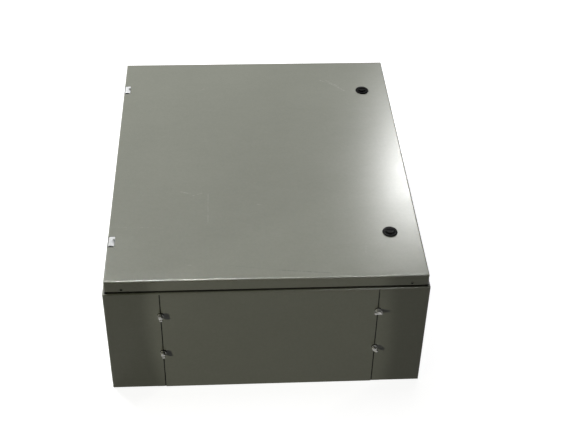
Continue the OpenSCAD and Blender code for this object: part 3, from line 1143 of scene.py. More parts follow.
def threads_recipe() -> Recipe:
    """Builds the recipe that cuts threaded rods at points.

    Returns:
        The recipe.
    """
    recipe = Recipe("threads")
    points = recipe.input("Points", "Geometry")
    radius = recipe.number("Radius")
    length = recipe.number("Length")
    pitch = recipe.number("Pitch")
    depth = recipe.number("Depth")
    rows = recipe.input("Rows", "Int")
    turn = recipe.input("Turn", "Vector")
    material = recipe.input("Material", "Material")
    rod = recipe.node(
        "GeometryNodeMeshCylinder", {"fill_type": "NGON"},
        {"Vertices": 24, "Side Segments": rows, "Radius": radius, "Depth": length},
    )
    where = recipe.node("ShaderNodeSeparateXYZ", {}, {0: recipe.node("GeometryNodeInputPosition")})
    x, y, z = (Value(recipe, socket) for socket in where.outputs)
    around = y.math("ARCTAN2", x) / ROUND
    wave = (z / pitch - around).math("PINGPONG", 0.5) * 2.0
    height = z + length / 2.0
    tip = (height - length + pitch).math("MAXIMUM", 0.0) / pitch
    cut = 1.0 - depth / radius * wave.math("MAXIMUM", tip * 1.2)
    moved = recipe.node("ShaderNodeCombineXYZ", {}, {"X": x * cut, "Y": y * cut, "Z": height})
    ribbed = recipe.node("GeometryNodeSetPosition", {}, {"Geometry": rod, "Position": moved})
    sharp = recipe.node("GeometryNodeSetShadeSmooth", {}, {"Geometry": ribbed, "Shade Smooth": False})
    placed = recipe.node(
        "GeometryNodeInstanceOnPoints", {}, {"Points": points, "Instance": sharp, "Rotation": turn},
    )
    return recipe.close(placed, material)


def weld_recipe() -> Recipe:
    """Builds the recipe that lays rippled weld beads along lines.

    Returns:
        The recipe.
    """
    recipe = Recipe("weld")
    lines = recipe.input("Lines", "Geometry")
    radius = recipe.number("Radius")
    ripple = recipe.number("Ripple")
    material = recipe.input("Material", "Material")
    curve = recipe.node("GeometryNodeMeshToCurve", {}, {"Mesh": lines})
    even = recipe.node(
        "GeometryNodeResampleCurve", {"mode": "LENGTH"}, {"Curve": curve, "Length": ripple / 4.0},
    )
    spline = recipe.node("GeometryNodeSplineParameter")
    run = Value(recipe, spline.outputs["Length"])
    share = Value(recipe, spline.outputs["Factor"])
    swell = 1.0 + (run / ripple * ROUND).math("SINE") * 0.14
    ends = (share * (1.0 - share) * 40.0).math("MINIMUM", 1.0).math("SQRT")
    ring = recipe.node("GeometryNodeCurvePrimitiveCircle", {}, {"Resolution": 8, "Radius": radius})
    bead = recipe.node(
        "GeometryNodeCurveToMesh", {},
        {"Curve": even, "Profile Curve": ring, "Scale": swell * ends, "Fill Caps": True},
    )
    return recipe.close(bead, material)


def seal_recipe() -> Recipe:
    """Builds the recipe that pours a domed foam bead along a closed line.

    Returns:
        The recipe.
    """
    recipe = Recipe("seal")
    lines = recipe.input("Lines", "Geometry")
    section = recipe.input("Section", "Object")
    step = recipe.input("Step")
    uneven = recipe.number("Uneven")
    material = recipe.input("Material", "Material")
    curve = recipe.node("GeometryNodeMeshToCurve", {}, {"Mesh": lines})
    even = recipe.node("GeometryNodeResampleCurve", {"mode": "LENGTH"}, {"Curve": curve, "Length": step})
    upright = recipe.node("GeometryNodeSetCurveNormal", {"mode": "Z_UP"}, {"Curve": even})
    shape = recipe.node("GeometryNodeObjectInfo", {"transform_space": "ORIGINAL"}, {"Object": section})
    outline = recipe.node("GeometryNodeMeshToCurve", {}, {"Mesh": shape.outputs["Geometry"]})
    bead = recipe.node("GeometryNodeCurveToMesh", {}, {"Curve": upright, "Profile Curve": outline})
    noise = recipe.value(
        "ShaderNodeTexNoise", {},
        {"Vector": recipe.node("GeometryNodeInputPosition"), "Scale": 55.0, "Detail": 2.0}, "Fac",
    )
    shift = recipe.node("ShaderNodeCombineXYZ", {}, {"Z": (noise - 0.5) * uneven})
    poured = recipe.node("GeometryNodeSetPosition", {}, {"Geometry": bead, "Offset": shift})
    smooth = recipe.node("GeometryNodeSetShadeSmooth", {}, {"Geometry": poured})
    return recipe.close(smooth, material)


def hex_nut(name: str, across_corners: float, bore: float, height: float) -> bpy.types.Mesh:
    """Turns and mills a nut with chamfered corners.

    Args:
        name: Name of the mesh.
        across_corners: Distance across the corners.
        bore: Diameter of the hole.
        height: Height of the nut.

    Returns:
        The mesh, standing on the origin.
    """
    corner = across_corners / 2
    flat = corner * math.cos(math.pi / 6)
    face = 0.96 * flat
    fall = (corner - face) * math.tan(math.radians(30))
    lead = min(0.08 * bore, 0.2 * height)
    return turned(name, [
        (bore / 2 + lead, 0.0), (face, 0.0), (corner, fall), (corner, height - fall),
        (face, height), (bore / 2 + lead, height), (bore / 2, height - lead), (bore / 2, lead),
    ], 2 * flat)


def washer(name: str, outside: float, bore: float, height: float) -> bpy.types.Mesh:
    """Stamps a washer with one rolled edge.

    Args:
        name: Name of the mesh.
        outside: Outside diameter.
        bore: Diameter of the hole.
        height: Thickness.

    Returns:
        The mesh, lying on the origin.
    """
    roll = 0.28 * height
    rim = outside / 2
    return turned(name, [
        (bore / 2, 0.0), (rim - roll, 0.0), (rim, roll), (rim, height - roll),
        (rim - 0.3 * roll, height - 0.3 * roll), (rim - roll, height),
        (bore / 2 + roll, height), (bore / 2, height - roll),
    ])


def pan_head(name: str, across: float, height: float) -> bpy.types.Mesh:
    """Turns a domed screw head and presses a cross recess into it.

    Args:
        name: Name of the mesh.
        across: Diameter of the head.
        height: Height of the head.

    Returns:
        The mesh, standing on the origin.
    """
    rim = across / 2
    break_edge = 0.15 * MM
    head = new_piece(name, turned(name, [
        (0.0, 0.0), (rim - break_edge, 0.0), (rim, break_edge), (rim, 0.35 * height),
        (0.94 * rim, 0.62 * height), (0.80 * rim, 0.84 * height), (0.58 * rim, 0.96 * height),
        (0.34 * rim, height), (0.0, height),
    ]))
    punch = new_piece(name + "_punch", to_mesh(name + "_punch", cross_punch(rim, height)))
    cut = head.modifiers.new("recess", "BOOLEAN")
    cut.operation = "DIFFERENCE"
    cut.solver = "EXACT"
    cut.use_self = True
    cut.object = punch
    settle(head)
    pressed = head.data
    bpy.data.objects.remove(punch)
    bpy.data.objects.remove(head)
    return pressed


def cross_punch(rim: float, height: float) -> bmesh.types.BMesh:
    """Makes the punch of a cross recess, from two tapered blades.

    Args:
        rim: Radius of the screw's head.
        height: Height of the screw's head.

    Returns:
        The punch.
    """
    reach = 0.60 * rim
    half = 0.13 * rim
    levels = ((0.45 * height, 0.55), (1.2 * height, 1.0))
    sides = ((-1, -1), (1, -1), (1, 1), (-1, 1))
    faces = ((3, 2, 1, 0), (4, 5, 6, 7), (0, 1, 5, 4), (1, 2, 6, 5), (2, 3, 7, 6), (3, 0, 4, 7))
    work = bmesh.new()
    for turn in (0.0, math.pi / 2):
        spin = Matrix.Rotation(turn, 4, "Z")
        corners = []
        for level, scale in levels:
            for sx, sy in sides:
                corners.append(work.verts.new(spin @ Vector((sx * reach * scale, sy * half, level))))
        for face in faces:
            work.faces.new([corners[k] for k in face])
    return work


@dataclass
class Shell:
    """Welded body with its painted weld seams.

    Attributes:
        half_w: Half of the inside width.
        half_h: Half of the inside height.
        back: Level of the back wall's inside.
        front: Level of the front flange's underside.
        bead: Radius of a weld bead.
        ripple: Length of one ripple of a bead.
        bead_in: Distance of a bead's middle from the walls.
        bead_stop: Distance of a bead's ends from what they run up to.
        gap_in: Distance of the gap under the door's rim from the outside.
        gap_half: Half of the width of the painted shade in that gap.
        folds: Outside of the shell.
    """

    half_w: float = 303.5 * MM
    half_h: float = 379.5 * MM
    back: float = 1.5 * MM
    front: float = 252.5 * MM
    bead: float = 1.3 * MM
    ripple: float = 3.2 * MM
    bead_in: float = 0.4 * MM
    bead_stop: float = 2.0 * MM
    gap_in: float = 6.5 * MM
    gap_half: float = 4.5 * MM
    folds: Folds = Folds(
        (-305.0 * MM, -381.0 * MM, 0.0), (305.0 * MM, 381.0 * MM, 254.0 * MM), 3.0 * MM,
    )

    def gap_shade(self) -> tuple[Mark, ...]:
        """Lists the painted shade on the front flange, in the gap under the door's rim, where the rim shades
        it.

        Returns:
            One mark for each side.
        """
        far_x, far_y, level = self.folds.high
        x = far_x - self.gap_in
        y = far_y - self.gap_in
        corners = [(-x, -y, level), (x, -y, level), (x, y, level), (-x, y, level)]
        ends = corners[1:] + corners[:1]
        # Painted shade: each side of the flange under the rim is darkened to 0.30 of its colour.
        return tuple(Mark(a, b, self.gap_half, 0.30, 1.0, True) for a, b in zip(corners, ends))

    def build(self, shop: Workshop) -> None:
        """Dresses the shell and lays its inside welds.

        Args:
            shop: The workshop.
        """
        paint = shop.finishes[Slot.PAINT]
        shop.smoothed("enclosure_body", "folded_shell", self.folds, paint)
        lines = []
        for sx in (-1, 1):
            for sy in (-1, 1):
                x = sx * (self.half_w - self.bead_in)
                y = sy * (self.half_h - self.bead_in)
                lines.append([(x, y, self.back + self.bead_stop), (x, y, self.front - self.bead_stop)])
        welds = shop.recipes["weld"].grow(
            along_lines("corner_welds", lines),
            {"Radius": self.bead, "Ripple": self.ripple, "Material": paint},
        )
        shop.place(welds, Body.ENCLOSURE.value, Slot.PAINT)


@dataclass
class MountingPlate:
    """Galvanised plate on four studs, and the body's earth stud.

    Attributes:
        half_x: Half of the studs' spacing across the width.
        half_y: Half of the studs' spacing along the height.
        foot: Level of the back wall's inside.
        under: Level of the plate's underside.
        top: Level of the plate's upper face.
        stud_end: Level of the studs' ends.
        collar_r: Radius of the studs' collars.
        washer_d: Outside diameter of the washers.
        washer_bore: Bore of the washers.
        washer_t: Thickness of the washers.
        earth: Foot of the earth stud.
        earth_length: Length of the earth stud.
    """

    half_x: float = 245.0 * MM
    half_y: float = 321.0 * MM
    foot: float = 1.5 * MM
    under: float = 23.5 * MM
    top: float = 26.0 * MM
    stud_end: float = 38.0 * MM
    collar_r: float = 7.0 * MM
    washer_d: float = 16.0 * MM
    washer_bore: float = 8.6 * MM
    washer_t: float = 1.6 * MM
    earth: Point = (-286.0 * MM, 0.0, 1.5 * MM)
    earth_length: float = 22.0 * MM

    def corners(self, level: float) -> list[Point]:
        """Lists the four stud places at a level."""
        return [(sx * self.half_x, sy * self.half_y, level) for sx in (-1, 1) for sy in (-1, 1)]

    def build(self, shop: Workshop) -> None:
        """Dresses the plate and makes its fasteners.

        Args:
            shop: The workshop.
        """
        body = Body.ENCLOSURE.value
        shop.dress("mounting_plate", shop.finishes[Slot.GALVANISED])
        shop.set_out(
            "stud_collars", self.collar(), self.corners(self.foot), Slot.ZINC, body,
            replaced=["mounting_studs"],
        )
        sunk = 1.0 * MM
        length = self.stud_end - self.under + sunk
        shop.threads("stud_threads", self.corners(self.under - sunk), Thread.M8, length, body)
        flat = washer("plate_washer", self.washer_d, self.washer_bore, self.washer_t)
        shop.set_out(
            "flat_washers", flat, self.corners(self.top), Slot.ZINC, body, replaced=["plate_washers"],
        )
        nut = hex_nut("plate_nut", *M8_NUT)
        shop.set_out(
            "stud_nuts", nut, self.corners(self.top + self.washer_t), Slot.ZINC, body,
            spin=SIXTH, seed=4, replaced=["plate_nuts"],
        )
        EarthStud("body", self.earth, Turn.UP, body, self.earth_length).build(shop)

    def collar(self) -> bpy.types.Mesh:
        """Turns a stud's collar with its weld foot.

        Returns:
            The mesh, standing on the origin.
        """
        radius = self.collar_r
        rise = self.under - self.foot
        chamfer = 0.6 * MM
        return turned("stud_collar", [
            (0.0, 0.0), (radius + 1.2 * MM, 0.0), (radius + 0.3 * MM, 0.5 * MM), (radius, 1.4 * MM),
            (radius, rise - chamfer), (radius - chamfer, rise), (0.0, rise),
        ])


@dataclass
class EarthStud:
    """Welded earth stud with its nut.

    Attributes:
        owner: Start of its nodes' names.
        foot: Where it stands.
        turn: How it is turned.
        body: The body that it rides on.
        length: Its length.
        base_h: Height of its base, which carries the nut.
        thread_from: Height at which its thread starts, inside the base.
    """

    owner: str
    foot: Point
    turn: Turn
    body: str
    length: float
    base_h: float = 2.0 * MM
    thread_from: float = 1.5 * MM

    def lifted(self, height: float) -> Point:
        """Gives the point at a height up the stud.

        Args:
            height: The height above its foot.

        Returns:
            The point.
        """
        way = Vector((0.0, 0.0, height))
        way.rotate(Matrix.Rotation(self.turn.value[0], 3, "X"))
        return tuple(Vector(self.foot) + way)

    def build(self, shop: Workshop) -> None:
        """Makes the base, the thread and the nut.

        Args:
            shop: The workshop.
        """
        base = turned("earth_base", [
            (0.0, 0.0), (6.4 * MM, 0.0), (6.5 * MM, 0.3 * MM), (6.2 * MM, 1.6 * MM), (5.6 * MM, self.base_h),
            (0.0, self.base_h),
        ])
        shop.set_out(
            f"{self.owner}_earth_base", base, [self.foot], Slot.ZINC, self.body, self.turn,
            replaced=[f"{self.owner}_earth_stud"],
        )
        shop.threads(
            f"{self.owner}_earth_thread", [self.lifted(self.thread_from)], Thread.M8,
            self.length - self.thread_from, self.body, self.turn,
        )
        shop.set_out(
            f"{self.owner}_earth_hex", hex_nut("earth_nut", *M8_NUT), [self.lifted(self.base_h)], Slot.ZINC,
            self.body, self.turn, spin=SIXTH, seed=7, replaced=[f"{self.owner}_earth_nut"],
        )


@dataclass
class EndPlate:
    """Removable end plate, its gasket and the four wing screws on its seams.

    Attributes:
        seam_left: Place of the seam on the hinge side.
        seam_right: Place of the seam on the lock side.
        row_back: Level of the back row of screws.
        row_front: Level of the front row of screws.
        face: Place of the end wall's outer face.
        washer_d: Outside diameter of the sealing washers.
        washer_bore: Bore of the sealing washers.
        washer_t: Thickness of the sealing washers.
        shank_end: Place of the screws' inner ends.
        head_end: How far outside the wall a screw's head ends.
        grain: Size of the steps in which a head is cast.
    """

    seam_left: float = -200.5 * MM
    seam_right: float = 209.5 * MM
    row_back: float = 99.0 * MM
    row_front: float = 198.0 * MM
    face: float = -381.0 * MM
    washer_d: float = 12.5 * MM
    washer_bore: float = 5.6 * MM
    washer_t: float = 1.6 * MM
    shank_end: float = -369.5 * MM
    head_end: float = 0.1 * MM
    grain: float = 0.36 * MM

    def places(self) -> dict[str, tuple[float, float]]:
        """Gives each wing screw's place across and its level.

        Returns:
            The places by the screws' names.
        """
        return {
            "back_left": (self.seam_left, self.row_back),
            "front_left": (self.seam_left, self.row_front),
            "back_right": (self.seam_right, self.row_back),
            "front_right": (self.seam_right, self.row_front),
        }

    def build(self, shop: Workshop, dull: bpy.types.Material) -> None:
        """Dresses the plate and makes its fasteners.

        Args:
            shop: The workshop.
            dull: Finish of the wing screws' heads.
        """
        shop.eased("end_plate", "end_cover", Slot.PAINT, 0.45 * MM)
        shop.eased("end_plate_gasket", "end_cover_gasket", Slot.RUBBER, 0.25 * MM)
        spots = [(x, self.face, z) for x, z in self.places().values()]
        ring = washer("sealing_washer", self.washer_d, self.washer_bore, self.washer_t)
        shop.set_out(
            "sealing_washers", ring, spots, Slot.RUBBER, Body.ENCLOSURE.value, Turn.OUT,
            replaced=["wing_screw_washers"],
        )
        shop.eased("wing_screw_nuts", "weld_nuts", Slot.ZINC, 0.5 * MM)
        shank = self.shank_end - self.face
        for name, (x, z) in self.places().items():
            self.wing_screw(shop, name, dull)
            shop.threads(
                f"wing_thread_{name}", [(x, self.face, z)], Thread.M5, shank, f"wing_screw_{name}", Turn.IN,
            )

    def wing_screw(self, shop: Workshop, name: str, dull: bpy.types.Material) -> bpy.types.Object:
        """Casts the head of one wing screw, with its edges run out.

        Args:
            shop: The workshop.
            name: Which screw it is.
            dull: Its finish.

        Returns:
            The head.
        """
        node = f"wing_screw_{name}"
        piece = shop.merged(node, f"wing_head_{name}")
        work = bmesh.new()
        work.from_mesh(piece.data)
        cut = bmesh.ops.bisect_plane(
            work, geom=list(work.verts) + list(work.edges) + list(work.faces), dist=1e-7,
            plane_co=(0.0, self.face - self.head_end, 0.0), plane_no=(0.0, 1.0, 0.0), clear_outer=True,
        )
        edges = [item for item in cut["geom_cut"] if isinstance(item, bmesh.types.BMEdge)]
        bmesh.ops.holes_fill(work, edges=edges)
        work.to_mesh(piece.data)
        work.free()
        remesh = piece.modifiers.new("cast", "REMESH")
        remesh.mode = "VOXEL"
        remesh.voxel_size = self.grain
        run_out = piece.modifiers.new("run_out", "SMOOTH")
        run_out.factor = 0.5
        run_out.iterations = 3
        settle(piece)
        for face in piece.data.polygons:
            face.use_smooth = True
        piece.data.materials.clear()
        piece.data.materials.append(dull)
        return shop.place(piece, node, Slot.ZINC, node)


@dataclass
class Hinges:
    """Two die-cast hinges with their pins, screws and studs.

    Attributes:
        middles: Place of each hinge along the door.
        length: Length of the knuckles together.
        axis: Place of the pins across, and their level.
        notch_mid: Middle of the door's notch, along from the hinge's middle.
        screw: A body screw's seat: across, along from the hinge's middle, and level.
        stud: A door stud's foot: across, along from the notch's middle, and level.
        leaf_t: Thickness of the door leaf under the nuts.
        screw_length: Length of a body screw's thread.
        head_d: Diameter of a body screw's head.
        head_h: Height of a body screw's head.
        stud_length: Length of a door stud.
        nut_corners: Distance across a door nut's corners.
        nut_h: Height of a door nut.
    """

    middles: tuple[float, float] = (-262.0 * MM, 269.0 * MM)
    length: float = 27.0 * MM
    axis: tuple[float, float] = (-294.5 * MM, 274.0 * MM)
    notch_mid: float = -1.25 * MM
    screw: Point = (-283.5 * MM, 9.0 * MM, 257.0 * MM)
    stud: Point = (-288.375 * MM, 21.75 * MM, 279.0 * MM)
    leaf_t: float = 3.0 * MM
    screw_length: float = 8.0 * MM
    head_d: float = 7.0 * MM
    head_h: float = 2.4 * MM
    stud_length: float = 7.5 * MM
    nut_corners: float = 7.6 * MM
    nut_h: float = 3.0 * MM

    def spots(self, spot: Point, middle: float, drop: float = 0.0) -> list[Point]:
        """Repeats a place at both ends of both hinges.

        Args:
            spot: The place: across, along from the middle, and level.
            middle: The middle, along from the hinge's own.
            drop: How far below the level.

        Returns:
            The four places.
        """
        across, along, level = spot
        return [(across, y + middle + k * along, level - drop) for y in self.middles for k in (-1, 1)]

    def knuckle_shade(self) -> tuple[Mark, ...]:
        """Lists the painted shade on the knuckles' outer sides and in the gaps at their lower ends.

        Returns:
            Two marks for each hinge.
        """
        marks = []
        x, z = self.axis
        outer = x - 10.0 * MM
        for middle in self.middles:
            low = middle - self.length / 2
            high = middle + self.length / 2
            below = low - 3.0 * MM
            # Painted shade down the outer side, then in the gap below the lower end.
            marks.append(Mark((outer, low, z), (outer, high, z), 8.5 * MM, 0.10, 0.9, True))
            marks.append(Mark((x, below, z), (x, below - MM, z), 8.6 * MM, 0.03, 1.0, True))
        return tuple(marks)

    def build(self, shop: Workshop, cast: bpy.types.Material) -> None:
        """Eases the leaves and makes the fasteners.

        Args:
            shop: The workshop.
            cast: Finish of the cast leaves.
        """
        for level in Level:
            node = f"hinge_{level.value}"
            name = f"{level.value}_hinge"
            shop.eased(f"{node}_body_leaf", f"{name}_post", Slot.ZINC, 0.8 * MM, cast)
            shop.eased(f"{node}_door_leaf", f"{name}_arm", Slot.ZINC, 0.7 * MM, cast)
            shop.eased(f"{node}_pin", f"{name}_pin_round", Slot.ZINC, 0.5 * MM)
        body = Body.ENCLOSURE.value
        door = Body.DOOR.value
        seats = self.spots(self.screw, 0.0)
        feet = self.spots(self.stud, self.notch_mid)
        head = pan_head("hinge_screw_head", self.head_d, self.head_h)
        shop.set_out(
            "hinge_screw_heads", head, seats, Slot.ZINC, body,
            spin=math.pi / 2, seed=3, replaced=["hinge_body_screws"],
        )
        shop.threads("hinge_screw_threads", seats, Thread.M4, self.screw_length, body, Turn.DOWN)
        shop.threads(
            "hinge_stud_threads", feet, Thread.M4, self.stud_length, door, Turn.DOWN,
            replaced=["hinge_door_studs"],
        )
        nut = hex_nut("hinge_nut", self.nut_corners, Thread.M4.value[0], self.nut_h)
        under = self.spots(self.stud, self.notch_mid, self.leaf_t)
        shop.set_out(
            "hinge_nuts", nut, under, Slot.ZINC, door, Turn.DOWN,
            spin=SIXTH, seed=9, replaced=["hinge_door_nuts"],
        )


@dataclass
class Door:
    """Folded door with its foamed seal and its earth stud.

    Attributes:
        half_w: Half of the seal's middle line across.
        half_h: Half of the seal's middle line along.
        corner: Corner radius of the seal's middle line.
        seal_w: Width of the seal.
        dome: Radius of the seal's face.
        low: Level of the seal's face.
        high: Level of the door's inside.
        earth: Foot of the earth stud.
        earth_length: Length of the earth stud.
        hanging: A hanging hole's place in the rim: across, along and level.
        hole_r: Radius of the painted shade about a hanging hole's axis.
        folds: Outside of the door, which is open at the back.
    """

    half_w: float = 271.25 * MM
    half_h: float = 347.25 * MM
    corner: float = 11.25 * MM
    seal_w: float = 12.0 * MM
    dome: float = 9.0 * MM
    low: float = 268.3 * MM
    high: float = 279.0 * MM
    earth: Point = (-240.0 * MM, 0.0, 279.0 * MM)
    earth_length: float = 22.0 * MM
    hanging: Point = (269.5 * MM, 377.0 * MM, 261.5 * MM)
    hole_r: float = 2.5 * MM
    folds: Folds = Folds(
        (-301.0 * MM, -377.0 * MM, 0.0), (301.0 * MM, 377.0 * MM, 281.0 * MM), 3.0 * MM,
    )

    def seal_line(self) -> list[Point]:
        """Lists points along the seal's middle line.

        Returns:
            The points, corner by corner.
        """
        steps = 8
        points = []
        for k, (sx, sy) in enumerate(((1, 1), (-1, 1), (-1, -1), (1, -1))):
            middle_x = sx * (self.half_w - self.corner)
            middle_y = sy * (self.half_h - self.corner)
            for step in range(steps + 1):
                angle = math.pi / 2 * (k + step / steps)
                x = middle_x + self.corner * math.cos(angle)
                y = middle_y + self.corner * math.sin(angle)
                points.append((x, y, self.low))
        return points

    def seal_section(self) -> list[Point]:
        """Lists points round the seal's section, with its domed face at the bottom.

        Returns:
            The points.
        """
        steps = 12
        height = self.high - self.low
        reach = math.asin(self.seal_w / 2 / self.dome)
        points = []
        for step in range(steps + 1):
            angle = -reach + 2 * reach * step / steps
            points.append((self.dome * math.sin(angle), self.dome * (1 - math.cos(angle)), 0.0))
        points.extend([(self.seal_w / 2, height, 0.0), (-self.seal_w / 2, height, 0.0)])
        return points

    def rub(self, start: Place, end: Place, width: float, shade_by: float, strength: float) -> Mark:
        """Makes a rub on the outer face.

        Args:
            start: One end, across and along in millimetres.
            end: Other end.
            width: Half of its width in millimetres.
            shade_by: What the paint's colour is multiplied by.
            strength: How much of it shows.

        Returns:
            The mark.
        """
        face = self.folds.high[2]
        ends = [(x * MM, y * MM, face) for x, y in (start, end)]
        return Mark(*ends, width * MM, shade_by, strength)

    def hole(self, sx: int, sy: int) -> Mark:
        """Paints shade into a hanging hole's bore and a thin ring round it.

        Args:
            sx: Side of the hole across.
            sy: Side of the hole along.

        Returns:
            The mark.
        """
        across, along, level = self.hanging
        outer = (sx * across, sy * along, level)
        inner = (sx * across, sy * along * 0.99, level)
        return Mark(outer, inner, self.hole_r, 0.04, 1.0, True)

    def wear_and_hole_shade(self) -> tuple[Mark, ...]:
        """Lists the scratches and scuffs on the outer face, and the painted shade in the hanging holes.

        Returns:
            The marks.
        """
        return (
            self.rub((-76, -337), (24, -354), 1.6, 0.80, 0.7),
            self.rub((24, -354), (118, -365), 2.0, 0.62, 0.9),
            self.rub((147, 300), (174, 282), 2.0, 1.16, 0.8),
            self.rub((174, 282), (203, 252), 2.0, 1.14, 0.8),
            self.rub((160, 300), (190, 272), 1.6, 1.10, 0.7),
            self.rub((-164, -113), (-146, -120), 2.0, 1.14, 0.8),
            self.rub((-140, -126), (-122, -118), 2.0, 1.12, 0.8),
            self.rub((-110, -122), (-110, -210), 1.5, 1.08, 0.8),
            self.rub((-15, -157), (-3, -160), 1.8, 1.12, 0.7),
            self.rub((192, -283), (189, -309), 2.0, 1.05, 0.6),
            self.rub((-152, -334), (-140, -335), 1.8, 1.12, 0.8),
            self.rub((-297, -219), (-193, -226), 1.8, 1.05, 0.7),
            self.rub((-140, 256), (-113, 272), 2.0, 1.07, 0.7),
            # Painted shade in the four hanging holes.
            *(self.hole(sx, sy) for sy in (-1, 1) for sx in (-1, 1)),
        )

    def build(self, shop: Workshop, paint: bpy.types.Material) -> None:
        """Dresses the door and pours its seal.

        Args:
            shop: The workshop.
            paint: The door's own paint, with its scratches, scuffs and the painted shade in its hanging
                holes.
        """
        body = Body.DOOR.value
        shop.smoothed("door_panel", "folded_door", self.folds, paint)
        section = along_lines("seal_section", [self.seal_section()], closed=True)
        seal = shop.recipes["seal"].grow(along_lines("foamed_seal", [self.seal_line()], closed=True), {
            "Section": section, "Step": 5.0 * MM, "Uneven": 0.5 * MM, "Material": shop.finishes[Slot.RUBBER],
        })
        bpy.data.objects.remove(section)
        shop.place(seal, body, Slot.RUBBER, "door_seal")
        EarthStud("door", self.earth, Turn.DOWN, body, self.earth_length).build(shop)


@dataclass
class Lock:
    """Quarter-turn lock.

    Attributes:
        level: The end of the door that it sits at.
        pieces: Ending of each node's name, ending of its piece's name, slot, and width of the easing.
    """

    level: Level
    pieces: tuple[tuple[str, str, Slot, float], ...] = (
        ("housing", "case", Slot.PLASTIC, 0.3 * MM),
        ("rotor", "key_boss", Slot.PLASTIC, 0.25 * MM),
        ("seal", "head_seal", Slot.RUBBER, 0.2 * MM),
        ("nut", "ring_nut", Slot.ZINC, 0.5 * MM),
        ("cam", "tongue", Slot.ZINC, 0.4 * MM),
        ("screw", "tongue_screw", Slot.ZINC, 0.4 * MM),
    )

    def build(self, shop: Workshop) -> None:
        """Eases the lock's pieces.

        Args:
            shop: The workshop.
        """
        end = self.level.value
        for node, name, slot, width in self.pieces:
            shop.eased(f"lock_{end}_{node}", f"{end}_lock_{name}", slot, width)


def hung(data: bpy.types.Light, place: Point, aim: Point) -> bpy.types.Object:
    """Hangs a lamp in the studio.

    Args:
        data: The lamp.
        place: Where it hangs.
        aim: What it points at.

    Returns:
        The lamp's object.
    """
    lamp = bpy.data.objects.new(data.name, data)
    lamp.location = place
    lamp.rotation_euler = (Vector(aim) - Vector(place)).to_track_quat("-Z", "Y").to_euler()
    bpy.context.scene.collection.objects.link(lamp)
    LOG.info("lamp %s", data.name)
    return lamp


@dataclass
class Lamp:
    """Soft lamp of the studio.

    Attributes:
        name: Its name.
        place: Where it hangs.
        aim: What it points at.
        size: Its width and height.
        power: Its power in watts.
        colour: Its colour.
        spread: Angle of its beam in degrees.
        reach: Which shading it reaches.
    """

    name: str
    place: Point
    aim: Point
    size: tuple[float, float]
    power: float
    colour: Colour = WHITE
    spread: float = 180.0
    reach: Reach = Reach.ALL

    def hang(self) -> None:
        """Adds the lamp to the scene."""
        data = bpy.data.lights.new(self.name, "AREA")
        data.shape = "RECTANGLE"
        data.size, data.size_y = self.size
        data.energy = self.power
        data.color = self.colour
        data.spread = math.radians(self.spread)
        lamp = hung(data, self.place, self.aim)
        lamp.visible_diffuse = self.reach is not Reach.GLOSS


@dataclass
class Shaft:
    """Shaft of light with edges, as comes in by a window.

    Attributes:
        name: Its name.
        place: Where it comes from.
        aim: Middle of what it lights.
        half_size: Half of the lit oval's width and height, across the shaft.
        power: Its power in watts.
        colour: Its colour.
        edge: Share of the oval over which it fades.
        source: Radius of the source, which softens the edges.
    """

    name: str
    place: Point
    aim: Point
    half_size: tuple[float, float]
    power: float
    colour: Colour = WHITE
    edge: float = 0.15
    source: float = 0.01

    def hang(self) -> None:
        """Adds the shaft's lamp to the scene, seen in matt shading alone."""
        width, height = self.half_size
        data = bpy.data.lights.new(self.name, "SPOT")
        data.spot_size = 2 * math.atan2(height, (Vector(self.aim) - Vector(self.place)).length)
        data.spot_blend = self.edge
        data.shadow_soft_size = self.source
        data.energy = self.power
        data.color = self.colour
        lamp = hung(data, self.place, self.aim)
        lamp.visible_glossy = False
        lamp.scale = (width / height, 1.0, 1.0)


